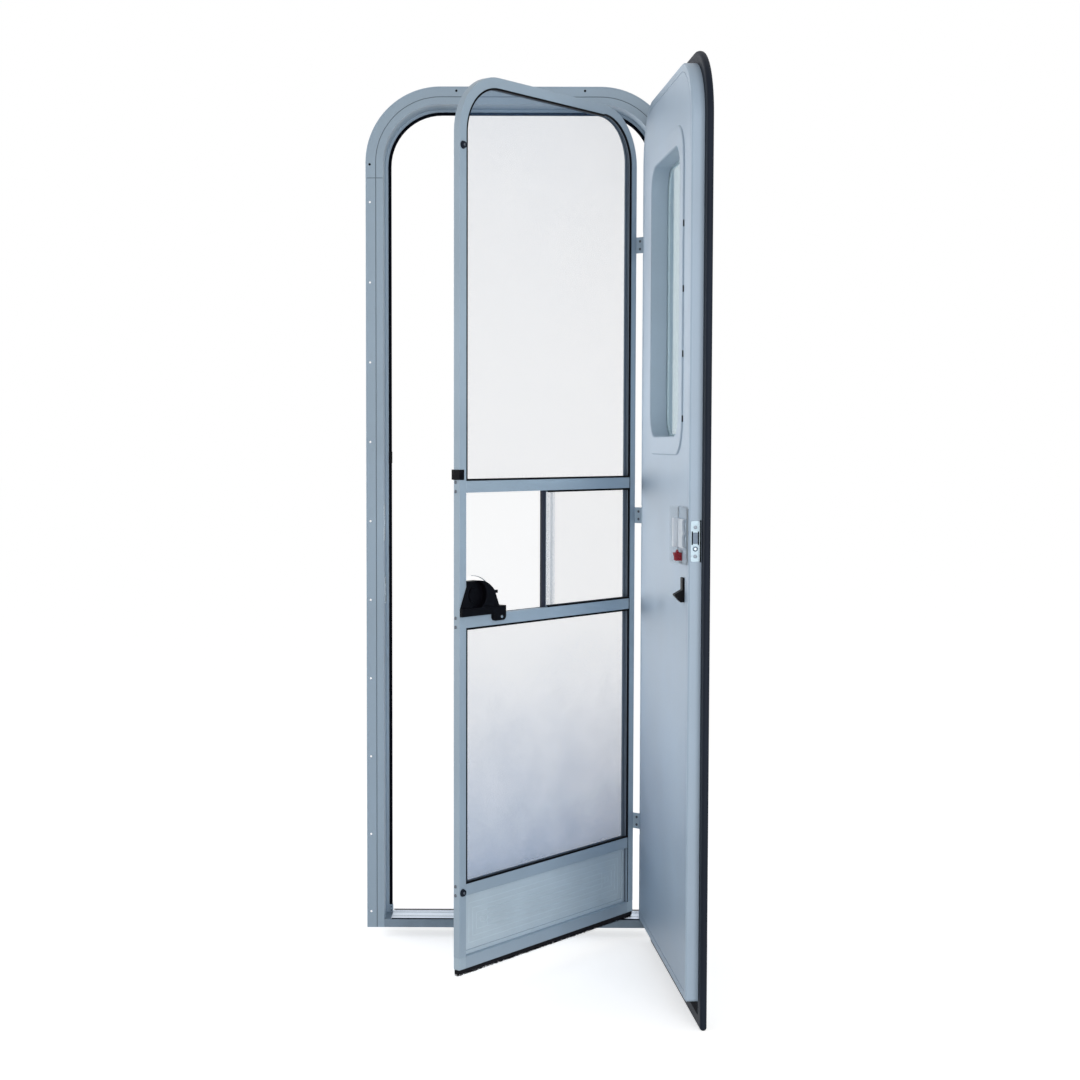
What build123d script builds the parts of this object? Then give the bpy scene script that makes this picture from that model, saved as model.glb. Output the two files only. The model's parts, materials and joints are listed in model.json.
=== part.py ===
"""Caravan entry door: an arched aluminium frame, an insulated main door with a window, and a fly-screen
door behind it with a sliding hatch. Both doors hang on the same three hinge pins.

The frame stands on the outer skin of the wall: Y = 0 is the back of its flange, +Y points into the
caravan and +Z up. Every door piece is drawn in the place that it has with the doors shut, on planes
that are then swung open about the hinge pins.
"""
import os
from math import cos, radians, sin

from build123d import *

# Frame
FRAME_WIDTH = 640.0
FRAME_HEIGHT = 1755.0
FRAME_BEND_RADIUS = 155.0
FLANGE_WIDTH = 36.0
FLANGE_THICKNESS = 2.0
BEAD_WIDTH = 2.5
BEAD_HEIGHT = 0.8
GROOVE_OFFSET = 20.0
GROOVE_WIDTH = 1.6
GROOVE_DEPTH = 0.9
FRAME_WALL = 2.0
STOP_THICKNESS = 2.5
STOP_WIDTH = 6.0
ARCH_LEG = 186.0
ARCH_PROUD = 0.8
SEAL_WIDTH = 6.5
SEAL_DEPTH = 6.0
SEAL_GAP = 6.5
SEAL_SEAT = 2.5
SEAL_CHAMFER = 1.6
SEAL_END_HEIGHT = 17.0
SEAL_END_WRAP = 1.2
SEAL_END_CHAMFER = 1.0

# Screw holes in the flange
HOLE_DIAMETER = 4.2
HOLE_INSET = 8.5
HOLE_FIRST = 34.0
HOLE_LAST_DROP = 50.0
HOLES_PER_JAMB = 10
ARCH_HOLE_SPACING = 265.0
ARCH_LEG_HOLE_RISE = 27.0

# Sill
SILL_LIP_HEIGHT = 17.0
SILL_DEPTH = 66.0
SILL_THICKNESS = 2.0
TREAD_INSET = 14.0
TREAD_FRONT = 1.0
TREAD_THICKNESS = 2.2
TREAD_RIB = 0.8
TREAD_RIBS = 8

# Hinges
HINGE_INSET = 2.2
HINGE_PROUD = 15.5
LOW_HINGE = 238.0
MIDDLE_HINGE = 883.0
TOP_HINGE_DROP = 312.0
PIN_DIAMETER = 6.0
PIN_CLEARANCE = 0.05
KNUCKLE_DIAMETER = 11.0
KNUCKLE_GAP = 0.5
FRAME_KNUCKLE = 14.0
SCREEN_KNUCKLE = 33.0
DOOR_KNUCKLE = 20.0
LEAF_THICKNESS = 3.0
LEAF_INSET = 3.0
LEAF_MARGIN = 4.0
ARM_THICKNESS = 2.0
STRAP_THICKNESS = 3.0
STRAP_REACH = 55.0

# Door angles of the modelled pose
SCREEN_OPEN = 51.2
DOOR_OPEN = 95.7

# Main door, with its gaps to the frame when shut
DOOR_LATCH_GAP = 7.0
DOOR_HINGE_GAP = 7.5
DOOR_TOP_GAP = 16.0
DOOR_SILL_GAP = 5.5
DOOR_FOOT_RADIUS = 6.0
DOOR_EDGE = 2.5
BODY_THICKNESS = 22.8
SEAM_INSET = 15.0
SEAM_WIDTH = 1.2
SEAM_DEPTH = 0.8
RIM_GAP = 5.0
RIM_THICKNESS = 12.7
RIM_OVERHANG = 21.5
RIM_DROP = 45.5
RIM_WIDTH = 23.0
RIM_EDGE = 3.0
RIM_HINGE_SETBACK = 10.5
ARM_ROOM = 6.0
ARM_POCKET = 5.0

# Fly-screen door, with its gaps to the frame and the main door when shut
SCREEN_LATCH_GAP = 9.0
SCREEN_HINGE_GAP = 7.0
SCREEN_TOP_GAP = 14.0
SCREEN_SILL_GAP = 5.7
SCREEN_GAP = 18.0
SCREEN_THICKNESS = 14.4
STILE_WIDTH = 19.5
STILE_WALL = 1.4
CHANNEL_DEPTH = 5.0
CHANNEL_WIDTH = 3.0
CHANNEL_FROM_FRONT = 10.0
MESH_THICKNESS = 1.0
MESH_BORDER = 9.0
MESH_BAR = 3.0
MESH_BARS_ACROSS = 6
MESH_BARS_UP = 8
SPLINE_REACH = 3.5
BOTTOM_RAIL = 23.0
KICK_RAIL_FOOT = 172.5
LOWER_RAIL_FOOT = 677.5
UPPER_RAIL_FOOT = 930.0
RAIL_HEIGHT = 22.0
PANEL_THICKNESS = 2.0
PANEL_BEAD_WIDTH = 7.0
PANEL_BEAD_PROUD = 2.5
POST_OFFSET = 22.0
POST_WIDTH = 11.0
BRUSH_HEIGHT = 8.0
BRUSH_THICKNESS = 10.0
BUMPER_DIAMETER = 15.0
BUMPER_HEIGHT = 4.0
BUMPER_TAPER = 20.0
LOW_BUMPER = 180.0
TOP_BUMPER_DROP = 137.0

# Screen lock, measured from the inner corner of the latch stile and the lower rail
LOCK_WIDTH = 108.0
LOCK_HEIGHT = 65.5
LOCK_SHOULDER = 33.0
LOCK_CHEEK = 78.0
LOCK_CHEEK_HEIGHT = 45.0
LOCK_SKIRT = 92.0
LOCK_PROUD = 3.0
LEDGE_HEIGHT = 14.5
LEDGE_PROUD = 6.0
APRON_HEIGHT = 56.0
APRON_MARGIN = 1.0
TAB_WIDTH = 37.0
TAB_DROP = 13.5
TAB_CORNER = 8.0
EAR_WIDTH = 9.0
EAR_HEIGHT = 6.0
RECESS_DIAMETER = 52.0
RECESS_RISE = 38.5
RECESS_DEPTH = 10.0
DIAL_DIAMETER = 28.0
DIAL_PROUD = 1.5

# Screen catch
CATCH_HEIGHT = 19.0
CATCH_RISE = 2.0
CATCH_WIDTH = 12.0
CATCH_WRAP = 1.4
CATCH_INSET = 9.5
CATCH_REACH = 14.0

# Sliding hatch
HATCH_OVERLAP = 40.0
HATCH_THICKNESS = 3.0
HATCH_CLEARANCE = 0.4
TRACK_WALL = 1.5
TRACK_LIP = 6.0
NOTCH_MARGIN = 8.0
STRIP_THICKNESS = 1.5
STRIP_MARGIN = 1.0
PULL_WIDTH = 4.0
PULL_PROUD = 8.0

# Window
WINDOW_OFFSET = -11.25
WINDOW_FOOT = 1036.0
WINDOW_HEAD_DROP = 140.0
WINDOW_WIDTH = 322.0
WINDOW_CORNER = 48.0
SLEEVE_WALL = 3.0
SURROUND_LIP = 32.0
SURROUND_PROUD = 3.0
SURROUND_EDGE = 2.0
GLASS_THICKNESS = 4.0
GLASS_SETBACK = 1.5
WINDOW_TRIM = 15.0
WINDOW_TRIM_COVER = 8.0
WINDOW_TRIM_PROUD = 2.0

# Lock of the main door, under a clear cover
COVER_INSET = 7.0
COVER_WIDTH = 98.0
COVER_FLANGE = 20.0
COVER_FLANGE_THICKNESS = 2.0
COVER_FOOT = 807.0
COVER_HEIGHT = 103.0
COVER_PROUD = 17.0
COVER_WALL = 2.0
COVER_CORNER = 7.0
CASE_MARGIN = 6.0
CASE_FOOT = 29.0
CASE_HEIGHT = 52.0
CASE_THICKNESS = 5.0
CASE_SCOOP = 11.0
CASE_BAR = 12.0
CASE_BAR_PROUD = 13.0
KNOB_PROUD = 14.0
KNOB_HEIGHT = 20.0
KNOB_THICKNESS = 18.0
KNOB_INSET = 62.0
KNOB_RISE = 4.5

# Latch in the edge of the main door
PLATE_WIDTH = 17.0
PLATE_FOOT = 814.0
PLATE_HEIGHT = 73.0
PLATE_THICKNESS = 1.6
PLATE_PROUD = 0.6
PLATE_CORNER = 3.0
BOLT_RISE = 5.5
BOLT_HEIGHT = 19.0
BOLT_THICKNESS = 9.0
BOLT_LENGTH = 20.0
BOLT_PROUD = 1.0
BOSS_DIAMETER = 7.0
BOSS_PROUD = 0.4
BOSS_DROP = 6.0

# Hook and outside handle of the main door
HOOK_INSET = 39.0
HOOK_WIDTH = 22.0
HOOK_FOOT = 739.0
HOOK_HEIGHT = 44.0
HOOK_PROUD = 18.0
HOOK_STEM = 4.0
HOOK_STEM_LENGTH = 22.0
HOOK_TIP_RISE = 12.0
HOOK_TIP = 2.0
HOOK_HEEL = 7.0
BEZEL_WIDTH = 80.0
BEZEL_HEIGHT = 104.0
BEZEL_PROUD = 4.0
BEZEL_CORNER = 12.0
PADDLE_MARGIN = 14.0
PADDLE_PROUD = 3.5
PADDLE_CORNER = 6.0

# Strikes on the latch jamb
STRIKE_THICKNESS = 1.0
STRIKE_CORNER = 3.0
STRIKE_DEPTH = 26.0
LATCH_STRIKE_MARGIN = 2.5
LATCH_STRIKE_FRONT = 0.5
SCREEN_STRIKE_FOOT = 683.0
SCREEN_STRIKE_HEIGHT = 59.0
SCREEN_STRIKE_FRONT = 22.0
STRIKE_SLOT_HEIGHT = 15.0
STRIKE_SLOT_DEPTH = 12.0
STRIKE_SLOT_MARGIN = 3.0

FIT = 0.3
TOUCH = 0.01

half_width = FRAME_WIDTH / 2
wall_face = half_width - FLANGE_WIDTH
wall_top = FRAME_HEIGHT - FLANGE_WIDTH
wall_bend = FRAME_BEND_RADIUS - FLANGE_WIDTH
sill_top = SILL_LIP_HEIGHT + TREAD_THICKNESS + TREAD_RIB
arch_leg_foot = FRAME_HEIGHT - ARCH_LEG
arch_front = -FLANGE_THICKNESS - ARCH_PROUD
hole_pitch = (arch_leg_foot - HOLE_FIRST - HOLE_LAST_DROP) / (HOLES_PER_JAMB - 1)

hinge_x = wall_face - HINGE_INSET
hinge_y = -HINGE_PROUD
hinge_heights = (LOW_HINGE, MIDDLE_HINGE, FRAME_HEIGHT - TOP_HINGE_DROP)
leaf_inner = wall_face + LEAF_INSET
leaf_outer = half_width - LEAF_MARGIN

door_latch = -wall_face + DOOR_LATCH_GAP
door_hinge = wall_face - DOOR_HINGE_GAP
door_foot = sill_top + DOOR_SILL_GAP
door_top = wall_top - DOOR_TOP_GAP
door_bend_radius = wall_bend - DOOR_LATCH_GAP
rim_back = arch_front - RIM_GAP
door_outer = rim_back - RIM_THICKNESS
door_inner = rim_back + BODY_THICKNESS

screen_latch = -wall_face + SCREEN_LATCH_GAP
screen_hinge = wall_face - SCREEN_HINGE_GAP
screen_foot = sill_top + SCREEN_SILL_GAP + BRUSH_HEIGHT
screen_top = wall_top - SCREEN_TOP_GAP
screen_bend_radius = wall_bend - SCREEN_HINGE_GAP
screen_front = door_inner + SCREEN_GAP
screen_back = screen_front + SCREEN_THICKNESS
screen_inner_left = screen_latch + STILE_WIDTH
screen_inner_right = screen_hinge - STILE_WIDTH
channel_front = screen_front + CHANNEL_FROM_FRONT
channel_back = channel_front + CHANNEL_WIDTH
hatch_foot = LOWER_RAIL_FOOT + RAIL_HEIGHT
post_left = (screen_latch + screen_hinge) / 2 - POST_OFFSET
post_right = post_left + POST_WIDTH
post_front = channel_front - STILE_WALL
bumper_heights = (LOW_BUMPER, screen_top - TOP_BUMPER_DROP)
catch_foot = UPPER_RAIL_FOOT + RAIL_HEIGHT + CATCH_RISE
seal_front = screen_back + SEAL_GAP
stop_depth = seal_front + SEAL_SEAT

window_centre_x = (door_latch + door_hinge) / 2 + WINDOW_OFFSET
window_height = door_top - WINDOW_HEAD_DROP - WINDOW_FOOT
opening_width = WINDOW_WIDTH + 2 * SLEEVE_WALL
opening_height = window_height + 2 * SLEEVE_WALL
window_mid = WINDOW_FOOT + window_height / 2
cover_left = door_latch + COVER_INSET
cover_right = cover_left + COVER_WIDTH
cover_mid_x = cover_left + COVER_WIDTH / 2
cover_mid_z = COVER_FOOT + COVER_HEIGHT / 2
plate_mid_y = (door_inner + rim_back) / 2
bolt_mid_z = PLATE_FOOT + PLATE_HEIGHT / 2 + BOLT_RISE
hook_left = door_latch + HOOK_INSET

os.makedirs("parts", exist_ok=True)


def shut_point(angle, x, y, z):
    """Place in the modelled pose of a point that is given for the shut door."""
    turn = radians(angle)
    dx = x - hinge_x
    dy = y - hinge_y
    return (
        hinge_x + cos(turn) * dx - sin(turn) * dy,
        hinge_y + sin(turn) * dx + cos(turn) * dy,
        z,
    )


def elevation(angle, depth):
    """Upright plane whose x and y are the shut door's X and Z, facing out of the caravan."""
    turn = radians(angle)
    return Plane(
        origin=shut_point(angle, 0, depth, 0),
        x_dir=(cos(turn), sin(turn), 0),
        z_dir=(sin(turn), -cos(turn), 0),
    )


def plan(angle, height):
    """Level plane whose x and y are the shut door's X and Y, facing up."""
    turn = radians(angle)
    return Plane(
        origin=shut_point(angle, 0, 0, height),
        x_dir=(cos(turn), sin(turn), 0),
        z_dir=(0, 0, 1),
    )


def side(angle, x):
    """Upright plane across the door whose x and y are the shut door's Y and Z, facing +X."""
    turn = radians(angle)
    return Plane(
        origin=shut_point(angle, x, 0, 0),
        x_dir=(-sin(turn), cos(turn), 0),
        z_dir=(cos(turn), sin(turn), 0),
    )


def into_caravan(angle):
    """Direction into the caravan of a door that stands at an angle."""
    turn = radians(angle)
    return Axis((0, 0, 0), (-sin(turn), cos(turn), 0))


def save(piece, label):
    """Label a finished piece and write it to its own file."""
    piece.part.label = label
    export_step(piece.part, f"parts/{label}.step")


def outline(points):
    """Closed face through corner points, in the sketch that is open."""
    with BuildLine() as edge:
        Polyline(*points, close=True)
    make_face(edge.edges())


def rectangle(left, right, low, high, radius=0.0, mode=Mode.ADD):
    """Rectangle between four sides, with rounded corners where a radius is given."""
    with Locations(((left + right) / 2, (low + high) / 2)):
        if radius:
            RectangleRounded(right - left, high - low, radius, mode=mode)
        else:
            Rectangle(right - left, high - low, mode=mode)


def arched(left, right, low, high, bend, foot=0.0, mode=Mode.ADD):
    """Door shape: bent upper corners, and lower corners that are square or lightly rounded."""
    with BuildLine() as edge:
        FilletPolyline(
            (left, low), (left, high), (right, high), (right, low), radius=bend
        )
        Line((right, low), (left, low))
    make_face(edge.edges(), mode=mode)
    if foot:
        corners = [v for v in vertices() if abs(v.Y - low) < TOUCH]
        fillet(corners, foot)


def frame_section(hand, front):
    """Extrusion of the frame: flange with bead and groove, wall and stop.

    hand is -1 for the latch side and 1 for the hinge side, front the Y of the flange's face.
    """
    wall_back = FLANGE_WIDTH - FRAME_WALL
    stop_back = stop_depth + STOP_THICKNESS
    groove_end = GROOVE_OFFSET + GROOVE_WIDTH
    section = (
        (0, 0),
        (0, front - BEAD_HEIGHT),
        (BEAD_WIDTH, front - BEAD_HEIGHT),
        (BEAD_WIDTH, front),
        (GROOVE_OFFSET, front),
        (GROOVE_OFFSET, front + GROOVE_DEPTH),
        (groove_end, front + GROOVE_DEPTH),
        (groove_end, front),
        (FLANGE_WIDTH, front),
        (FLANGE_WIDTH, stop_depth),
        (FLANGE_WIDTH + STOP_WIDTH, stop_depth),
        (FLANGE_WIDTH + STOP_WIDTH, stop_back),
        (wall_back, stop_back),
        (wall_back, 0),
    )
    outline([(hand * (half_width - u), y) for u, y in section])


def frame_path(foot):
    """Line of the frame's outer edge, from one foot over the arch to the other."""
    with BuildLine(elevation(0, 0)) as path:
        FilletPolyline(
            (-half_width, foot),
            (-half_width, FRAME_HEIGHT),
            (half_width, FRAME_HEIGHT),
            (half_width, foot),
            radius=FRAME_BEND_RADIUS,
        )
    return path.wire()


jamb_hole_heights = [HOLE_FIRST + hole_pitch * i for i in range(HOLES_PER_JAMB)]
hole_x = half_width - HOLE_INSET

# Jambs, from the foot of the frame to the lap of the arch
for hand, label in ((-1, "left_jamb"), (1, "right_jamb")):
    with BuildPart() as jamb:
        with BuildSketch(plan(0, 0)):
            frame_section(hand, -FLANGE_THICKNESS)
        extrude(amount=arch_leg_foot)
        with BuildSketch(elevation(0, 0)):
            with Locations(*[(hand * hole_x, z) for z in jamb_hole_heights]):
                Circle(HOLE_DIAMETER / 2)
        extrude(amount=FLANGE_THICKNESS, mode=Mode.SUBTRACT)
    save(jamb, label)

# Arch, the same extrusion bent over the top, with a face that stands proud of the jambs
arch_path = frame_path(arch_leg_foot)
with BuildPart() as arch:
    with BuildSketch(plan(0, arch_leg_foot)):
        frame_section(-1, arch_front)
    sweep(path=arch_path)
    with BuildSketch(elevation(0, 0)):
        with Locations(
            (-hole_x, arch_leg_foot + ARCH_LEG_HOLE_RISE),
            (hole_x, arch_leg_foot + ARCH_LEG_HOLE_RISE),
            (-ARCH_HOLE_SPACING / 2, FRAME_HEIGHT - HOLE_INSET),
            (ARCH_HOLE_SPACING / 2, FRAME_HEIGHT - HOLE_INSET),
        ):
            Circle(HOLE_DIAMETER / 2)
    extrude(amount=-arch_front, mode=Mode.SUBTRACT)
save(arch, "frame_arch")

# Bulb seal along the edge of the stop, and the end blocks that it stands on beside the sill
seal_outer = wall_face - STOP_WIDTH
seal_foot = SILL_LIP_HEIGHT + SEAL_END_HEIGHT
with BuildPart() as seal:
    with BuildSketch(plan(0, seal_foot)) as seal_section:
        rectangle(-seal_outer, -seal_outer + SEAL_WIDTH, seal_front, seal_front + SEAL_DEPTH)
        chamfer(seal_section.vertices(), SEAL_CHAMFER)
    sweep(path=frame_path(seal_foot))
save(seal, "frame_seal")

with BuildPart() as seal_ends:
    for hand in (-1, 1):
        block_inner = hand * (seal_outer - SEAL_WIDTH - SEAL_END_WRAP)
        block_outer = hand * seal_outer
        with BuildSketch(plan(0, SILL_LIP_HEIGHT)) as end_section:
            rectangle(
                min(block_inner, block_outer),
                max(block_inner, block_outer),
                seal_front,
                seal_front + SEAL_DEPTH + SEAL_END_WRAP,
            )
            chamfer(end_section.vertices(), SEAL_END_CHAMFER)
        extrude(amount=SEAL_END_HEIGHT)
save(seal_ends, "seal_ends")

# Sill: an open extrusion between the jamb walls, notched round their stops
with BuildPart() as sill:
    with BuildSketch(side(0, -wall_face)):
        outline(
            (
                (-FLANGE_THICKNESS, 0),
                (-FLANGE_THICKNESS, SILL_LIP_HEIGHT),
                (SILL_DEPTH, SILL_LIP_HEIGHT),
                (SILL_DEPTH, 0),
                (SILL_DEPTH - SILL_THICKNESS, 0),
                (SILL_DEPTH - SILL_THICKNESS, SILL_LIP_HEIGHT - SILL_THICKNESS),
                (0, SILL_LIP_HEIGHT - SILL_THICKNESS),
                (0, 0),
            )
        )
    extrude(amount=2 * wall_face)
    with BuildSketch(plan(0, 0)):
        for hand in (-1, 1):
            inner = hand * (wall_face - STOP_WIDTH - FIT)
            outer = hand * wall_face
            rectangle(
                min(inner, outer),
                max(inner, outer),
                stop_depth - FIT,
                stop_depth + STOP_THICKNESS + FIT,
            )
    extrude(amount=SILL_LIP_HEIGHT, mode=Mode.SUBTRACT)
save(sill, "sill")

# Ribbed tread plate on the sill
tread_half = wall_face - TREAD_INSET
tread_back = SILL_DEPTH - TREAD_FRONT
rib_pitch = (tread_back - TREAD_FRONT) / TREAD_RIBS
with BuildPart() as tread:
    with BuildSketch(side(0, -tread_half)):
        rectangle(TREAD_FRONT, tread_back, SILL_LIP_HEIGHT, SILL_LIP_HEIGHT + TREAD_THICKNESS)
        for i in range(TREAD_RIBS):
            rib_left = TREAD_FRONT + rib_pitch * (i + 0.25)
            rectangle(
                rib_left,
                rib_left + rib_pitch / 2,
                SILL_LIP_HEIGHT + TREAD_THICKNESS,
                sill_top,
            )
    extrude(amount=2 * tread_half)
save(tread, "sill_tread")

# Strikes on the latch jamb: one open to the front for the door's bolt, one slotted for the screen's lock
latch_strike_foot = bolt_mid_z - PLATE_HEIGHT / 2 - LATCH_STRIKE_MARGIN
latch_strike_head = bolt_mid_z + PLATE_HEIGHT / 2 + LATCH_STRIKE_MARGIN
screen_strike_head = SCREEN_STRIKE_FOOT + SCREEN_STRIKE_HEIGHT
slot_front = SCREEN_STRIKE_FRONT + (STRIKE_DEPTH - STRIKE_SLOT_DEPTH) / 2
with BuildPart() as strikes:
    with BuildSketch(side(0, -wall_face)):
        rectangle(
            LATCH_STRIKE_FRONT,
            LATCH_STRIKE_FRONT + STRIKE_DEPTH,
            latch_strike_foot,
            latch_strike_head,
            STRIKE_CORNER,
        )
        rectangle(
            LATCH_STRIKE_FRONT,
            plate_mid_y + BOLT_THICKNESS,
            bolt_mid_z - BOLT_HEIGHT / 2 - LATCH_STRIKE_MARGIN,
            bolt_mid_z + BOLT_HEIGHT / 2 + LATCH_STRIKE_MARGIN,
            mode=Mode.SUBTRACT,
        )
    extrude(amount=STRIKE_THICKNESS)
    with BuildSketch(side(0, -wall_face)):
        rectangle(
            SCREEN_STRIKE_FRONT,
            SCREEN_STRIKE_FRONT + STRIKE_DEPTH,
            SCREEN_STRIKE_FOOT,
            screen_strike_head,
            STRIKE_CORNER,
        )
        for low in (
            SCREEN_STRIKE_FOOT + STRIKE_SLOT_MARGIN,
            screen_strike_head - STRIKE_SLOT_MARGIN - STRIKE_SLOT_HEIGHT,
        ):
            rectangle(
                slot_front, slot_front + STRIKE_SLOT_DEPTH, low, low + STRIKE_SLOT_HEIGHT, mode=Mode.SUBTRACT
            )
    extrude(amount=STRIKE_THICKNESS)
save(strikes, "jamb_strikes")

# Hinges: from below, frame knuckle, screen knuckle, door knuckle and frame knuckle on one pin
knuckle_radius = KNUCKLE_DIAMETER / 2
bore_radius = PIN_DIAMETER / 2 + PIN_CLEARANCE
stack_height = 2 * FRAME_KNUCKLE + SCREEN_KNUCKLE + DOOR_KNUCKLE + 3 * KNUCKLE_GAP
flange_face = -FLANGE_THICKNESS


def stack_levels(middle):
    """Lower ends of the four knuckles of a hinge whose stack is centred on a height."""
    first = middle - stack_height / 2
    screen = first + FRAME_KNUCKLE + KNUCKLE_GAP
    door = screen + SCREEN_KNUCKLE + KNUCKLE_GAP
    last = door + DOOR_KNUCKLE + KNUCKLE_GAP
    return first, screen, door, last


with BuildPart() as leaves:
    for middle in hinge_heights:
        first, _, _, last = stack_levels(middle)
        with BuildSketch(elevation(0, flange_face)):
            rectangle(leaf_inner, leaf_outer, first, last + FRAME_KNUCKLE)
        extrude(amount=LEAF_THICKNESS)
        for low in (first, last):
            with BuildSketch(plan(0, low)):
                with Locations((hinge_x, hinge_y)):
                    Circle(knuckle_radius)
                outline(
                    (
                        (hinge_x, hinge_y + knuckle_radius),
                        (leaf_inner, flange_face),
                        (leaf_inner + LEAF_THICKNESS, flange_face - LEAF_THICKNESS),
                        (hinge_x + knuckle_radius, hinge_y),
                        (hinge_x, hinge_y),
                    )
                )
                with Locations((hinge_x, hinge_y)):
                    Circle(PIN_DIAMETER / 2, mode=Mode.SUBTRACT)
            extrude(amount=FRAME_KNUCKLE)
save(leaves, "hinge_leaves")

with BuildPart() as pins:
    for middle in hinge_heights:
        first = stack_levels(middle)[0]
        with BuildSketch(plan(0, first)):
            with Locations((hinge_x, hinge_y)):
                Circle(PIN_DIAMETER / 2)
        extrude(amount=stack_height)
save(pins, "hinge_pins")

# Arms of the fly-screen: a knuckle, and a plate that runs past the main door's edge to the stile
with BuildPart() as arms:
    for middle in hinge_heights:
        low = stack_levels(middle)[1]
        with BuildSketch(plan(SCREEN_OPEN, low)):
            with Locations((hinge_x, hinge_y)):
                Circle(knuckle_radius)
            rectangle(screen_hinge, screen_hinge + ARM_THICKNESS, hinge_y, screen_back)
            with Locations((hinge_x, hinge_y)):
                Circle(bore_radius, mode=Mode.SUBTRACT)
        extrude(amount=SCREEN_KNUCKLE)
save(arms, "screen_hinge_arms")

# Straps of the main door: a knuckle, and a plate on the door's outer face
with BuildPart() as straps:
    for middle in hinge_heights:
        low = stack_levels(middle)[2]
        with BuildSketch(plan(DOOR_OPEN, low)):
            with Locations((hinge_x, hinge_y)):
                Circle(knuckle_radius)
            rectangle(
                hinge_x - STRAP_REACH, hinge_x, door_outer - STRAP_THICKNESS, door_outer
            )
            rectangle(hinge_x - knuckle_radius, hinge_x, door_outer - STRAP_THICKNESS, hinge_y)
            with Locations((hinge_x, hinge_y)):
                Circle(bore_radius, mode=Mode.SUBTRACT)
        extrude(amount=DOOR_KNUCKLE)
save(straps, "door_hinge_straps")


def stile_section():
    """Hollow extrusion of the fly-screen frame with its mesh channel, at the latch stile."""
    rectangle(screen_latch, screen_inner_left, screen_front, screen_back)
    rectangle(
        screen_latch + STILE_WALL,
        screen_inner_left - CHANNEL_DEPTH - STILE_WALL,
        screen_front + STILE_WALL,
        screen_back - STILE_WALL,
        mode=Mode.SUBTRACT,
    )
    rectangle(
        screen_inner_left - CHANNEL_DEPTH,
        screen_inner_left,
        channel_front,
        channel_back,
        mode=Mode.SUBTRACT,
    )


def rail_section(foot, height, channels):
    """Hollow cross rail. channels are the edges, -1 below and 1 above, that hold a mesh."""
    head = foot + height
    rectangle(screen_front, screen_back, foot, head)
    rectangle(
        screen_front + STILE_WALL,
        screen_back - STILE_WALL,
        foot + STILE_WALL + CHANNEL_DEPTH,
        head - STILE_WALL - CHANNEL_DEPTH,
        mode=Mode.SUBTRACT,
    )
    for edge in channels:
        low = foot if edge < 0 else head - CHANNEL_DEPTH
        rectangle(channel_front, channel_back, low, low + CHANNEL_DEPTH, mode=Mode.SUBTRACT)


# Bent frame of the fly-screen
stile_foot = screen_foot + BOTTOM_RAIL
with BuildPart() as bend:
    with BuildLine(elevation(SCREEN_OPEN, 0)) as bend_path:
        FilletPolyline(
            (screen_latch, stile_foot),
            (screen_latch, screen_top),
            (screen_hinge, screen_top),
            (screen_hinge, stile_foot),
            radius=screen_bend_radius,
        )
    with BuildSketch(plan(SCREEN_OPEN, stile_foot)):
        stile_section()
    sweep(path=bend_path.wire())
save(bend, "screen_bend")

for label, foot, height, channels in (
    ("screen_bottom_rail", screen_foot, BOTTOM_RAIL, (1,)),
    ("screen_kick_rail", KICK_RAIL_FOOT, RAIL_HEIGHT, (-1, 1)),
    ("screen_lower_rail", LOWER_RAIL_FOOT, RAIL_HEIGHT, (-1, 1)),
    ("screen_upper_rail", UPPER_RAIL_FOOT, RAIL_HEIGHT, (-1, 1)),
):
    with BuildPart() as cross_rail:
        with BuildSketch(side(SCREEN_OPEN, screen_inner_left)):
            rail_section(foot, height, channels)
        extrude(amount=screen_inner_right - screen_inner_left)
    save(cross_rail, label)

# Moulded corners that join the stiles to the bottom rail
with BuildPart() as corners:
    with BuildSketch(elevation(SCREEN_OPEN, screen_back)):
        rectangle(screen_latch, screen_inner_left, screen_foot, stile_foot)
        rectangle(screen_inner_right, screen_hinge, screen_foot, stile_foot)
    extrude(amount=SCREEN_THICKNESS)
    with BuildSketch(elevation(SCREEN_OPEN, channel_back)):
        rectangle(
            screen_inner_left - CHANNEL_DEPTH,
            screen_inner_right + CHANNEL_DEPTH,
            stile_foot - CHANNEL_DEPTH,
            stile_foot,
        )
    extrude(amount=CHANNEL_WIDTH, mode=Mode.SUBTRACT)
save(corners, "screen_corners")

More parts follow.
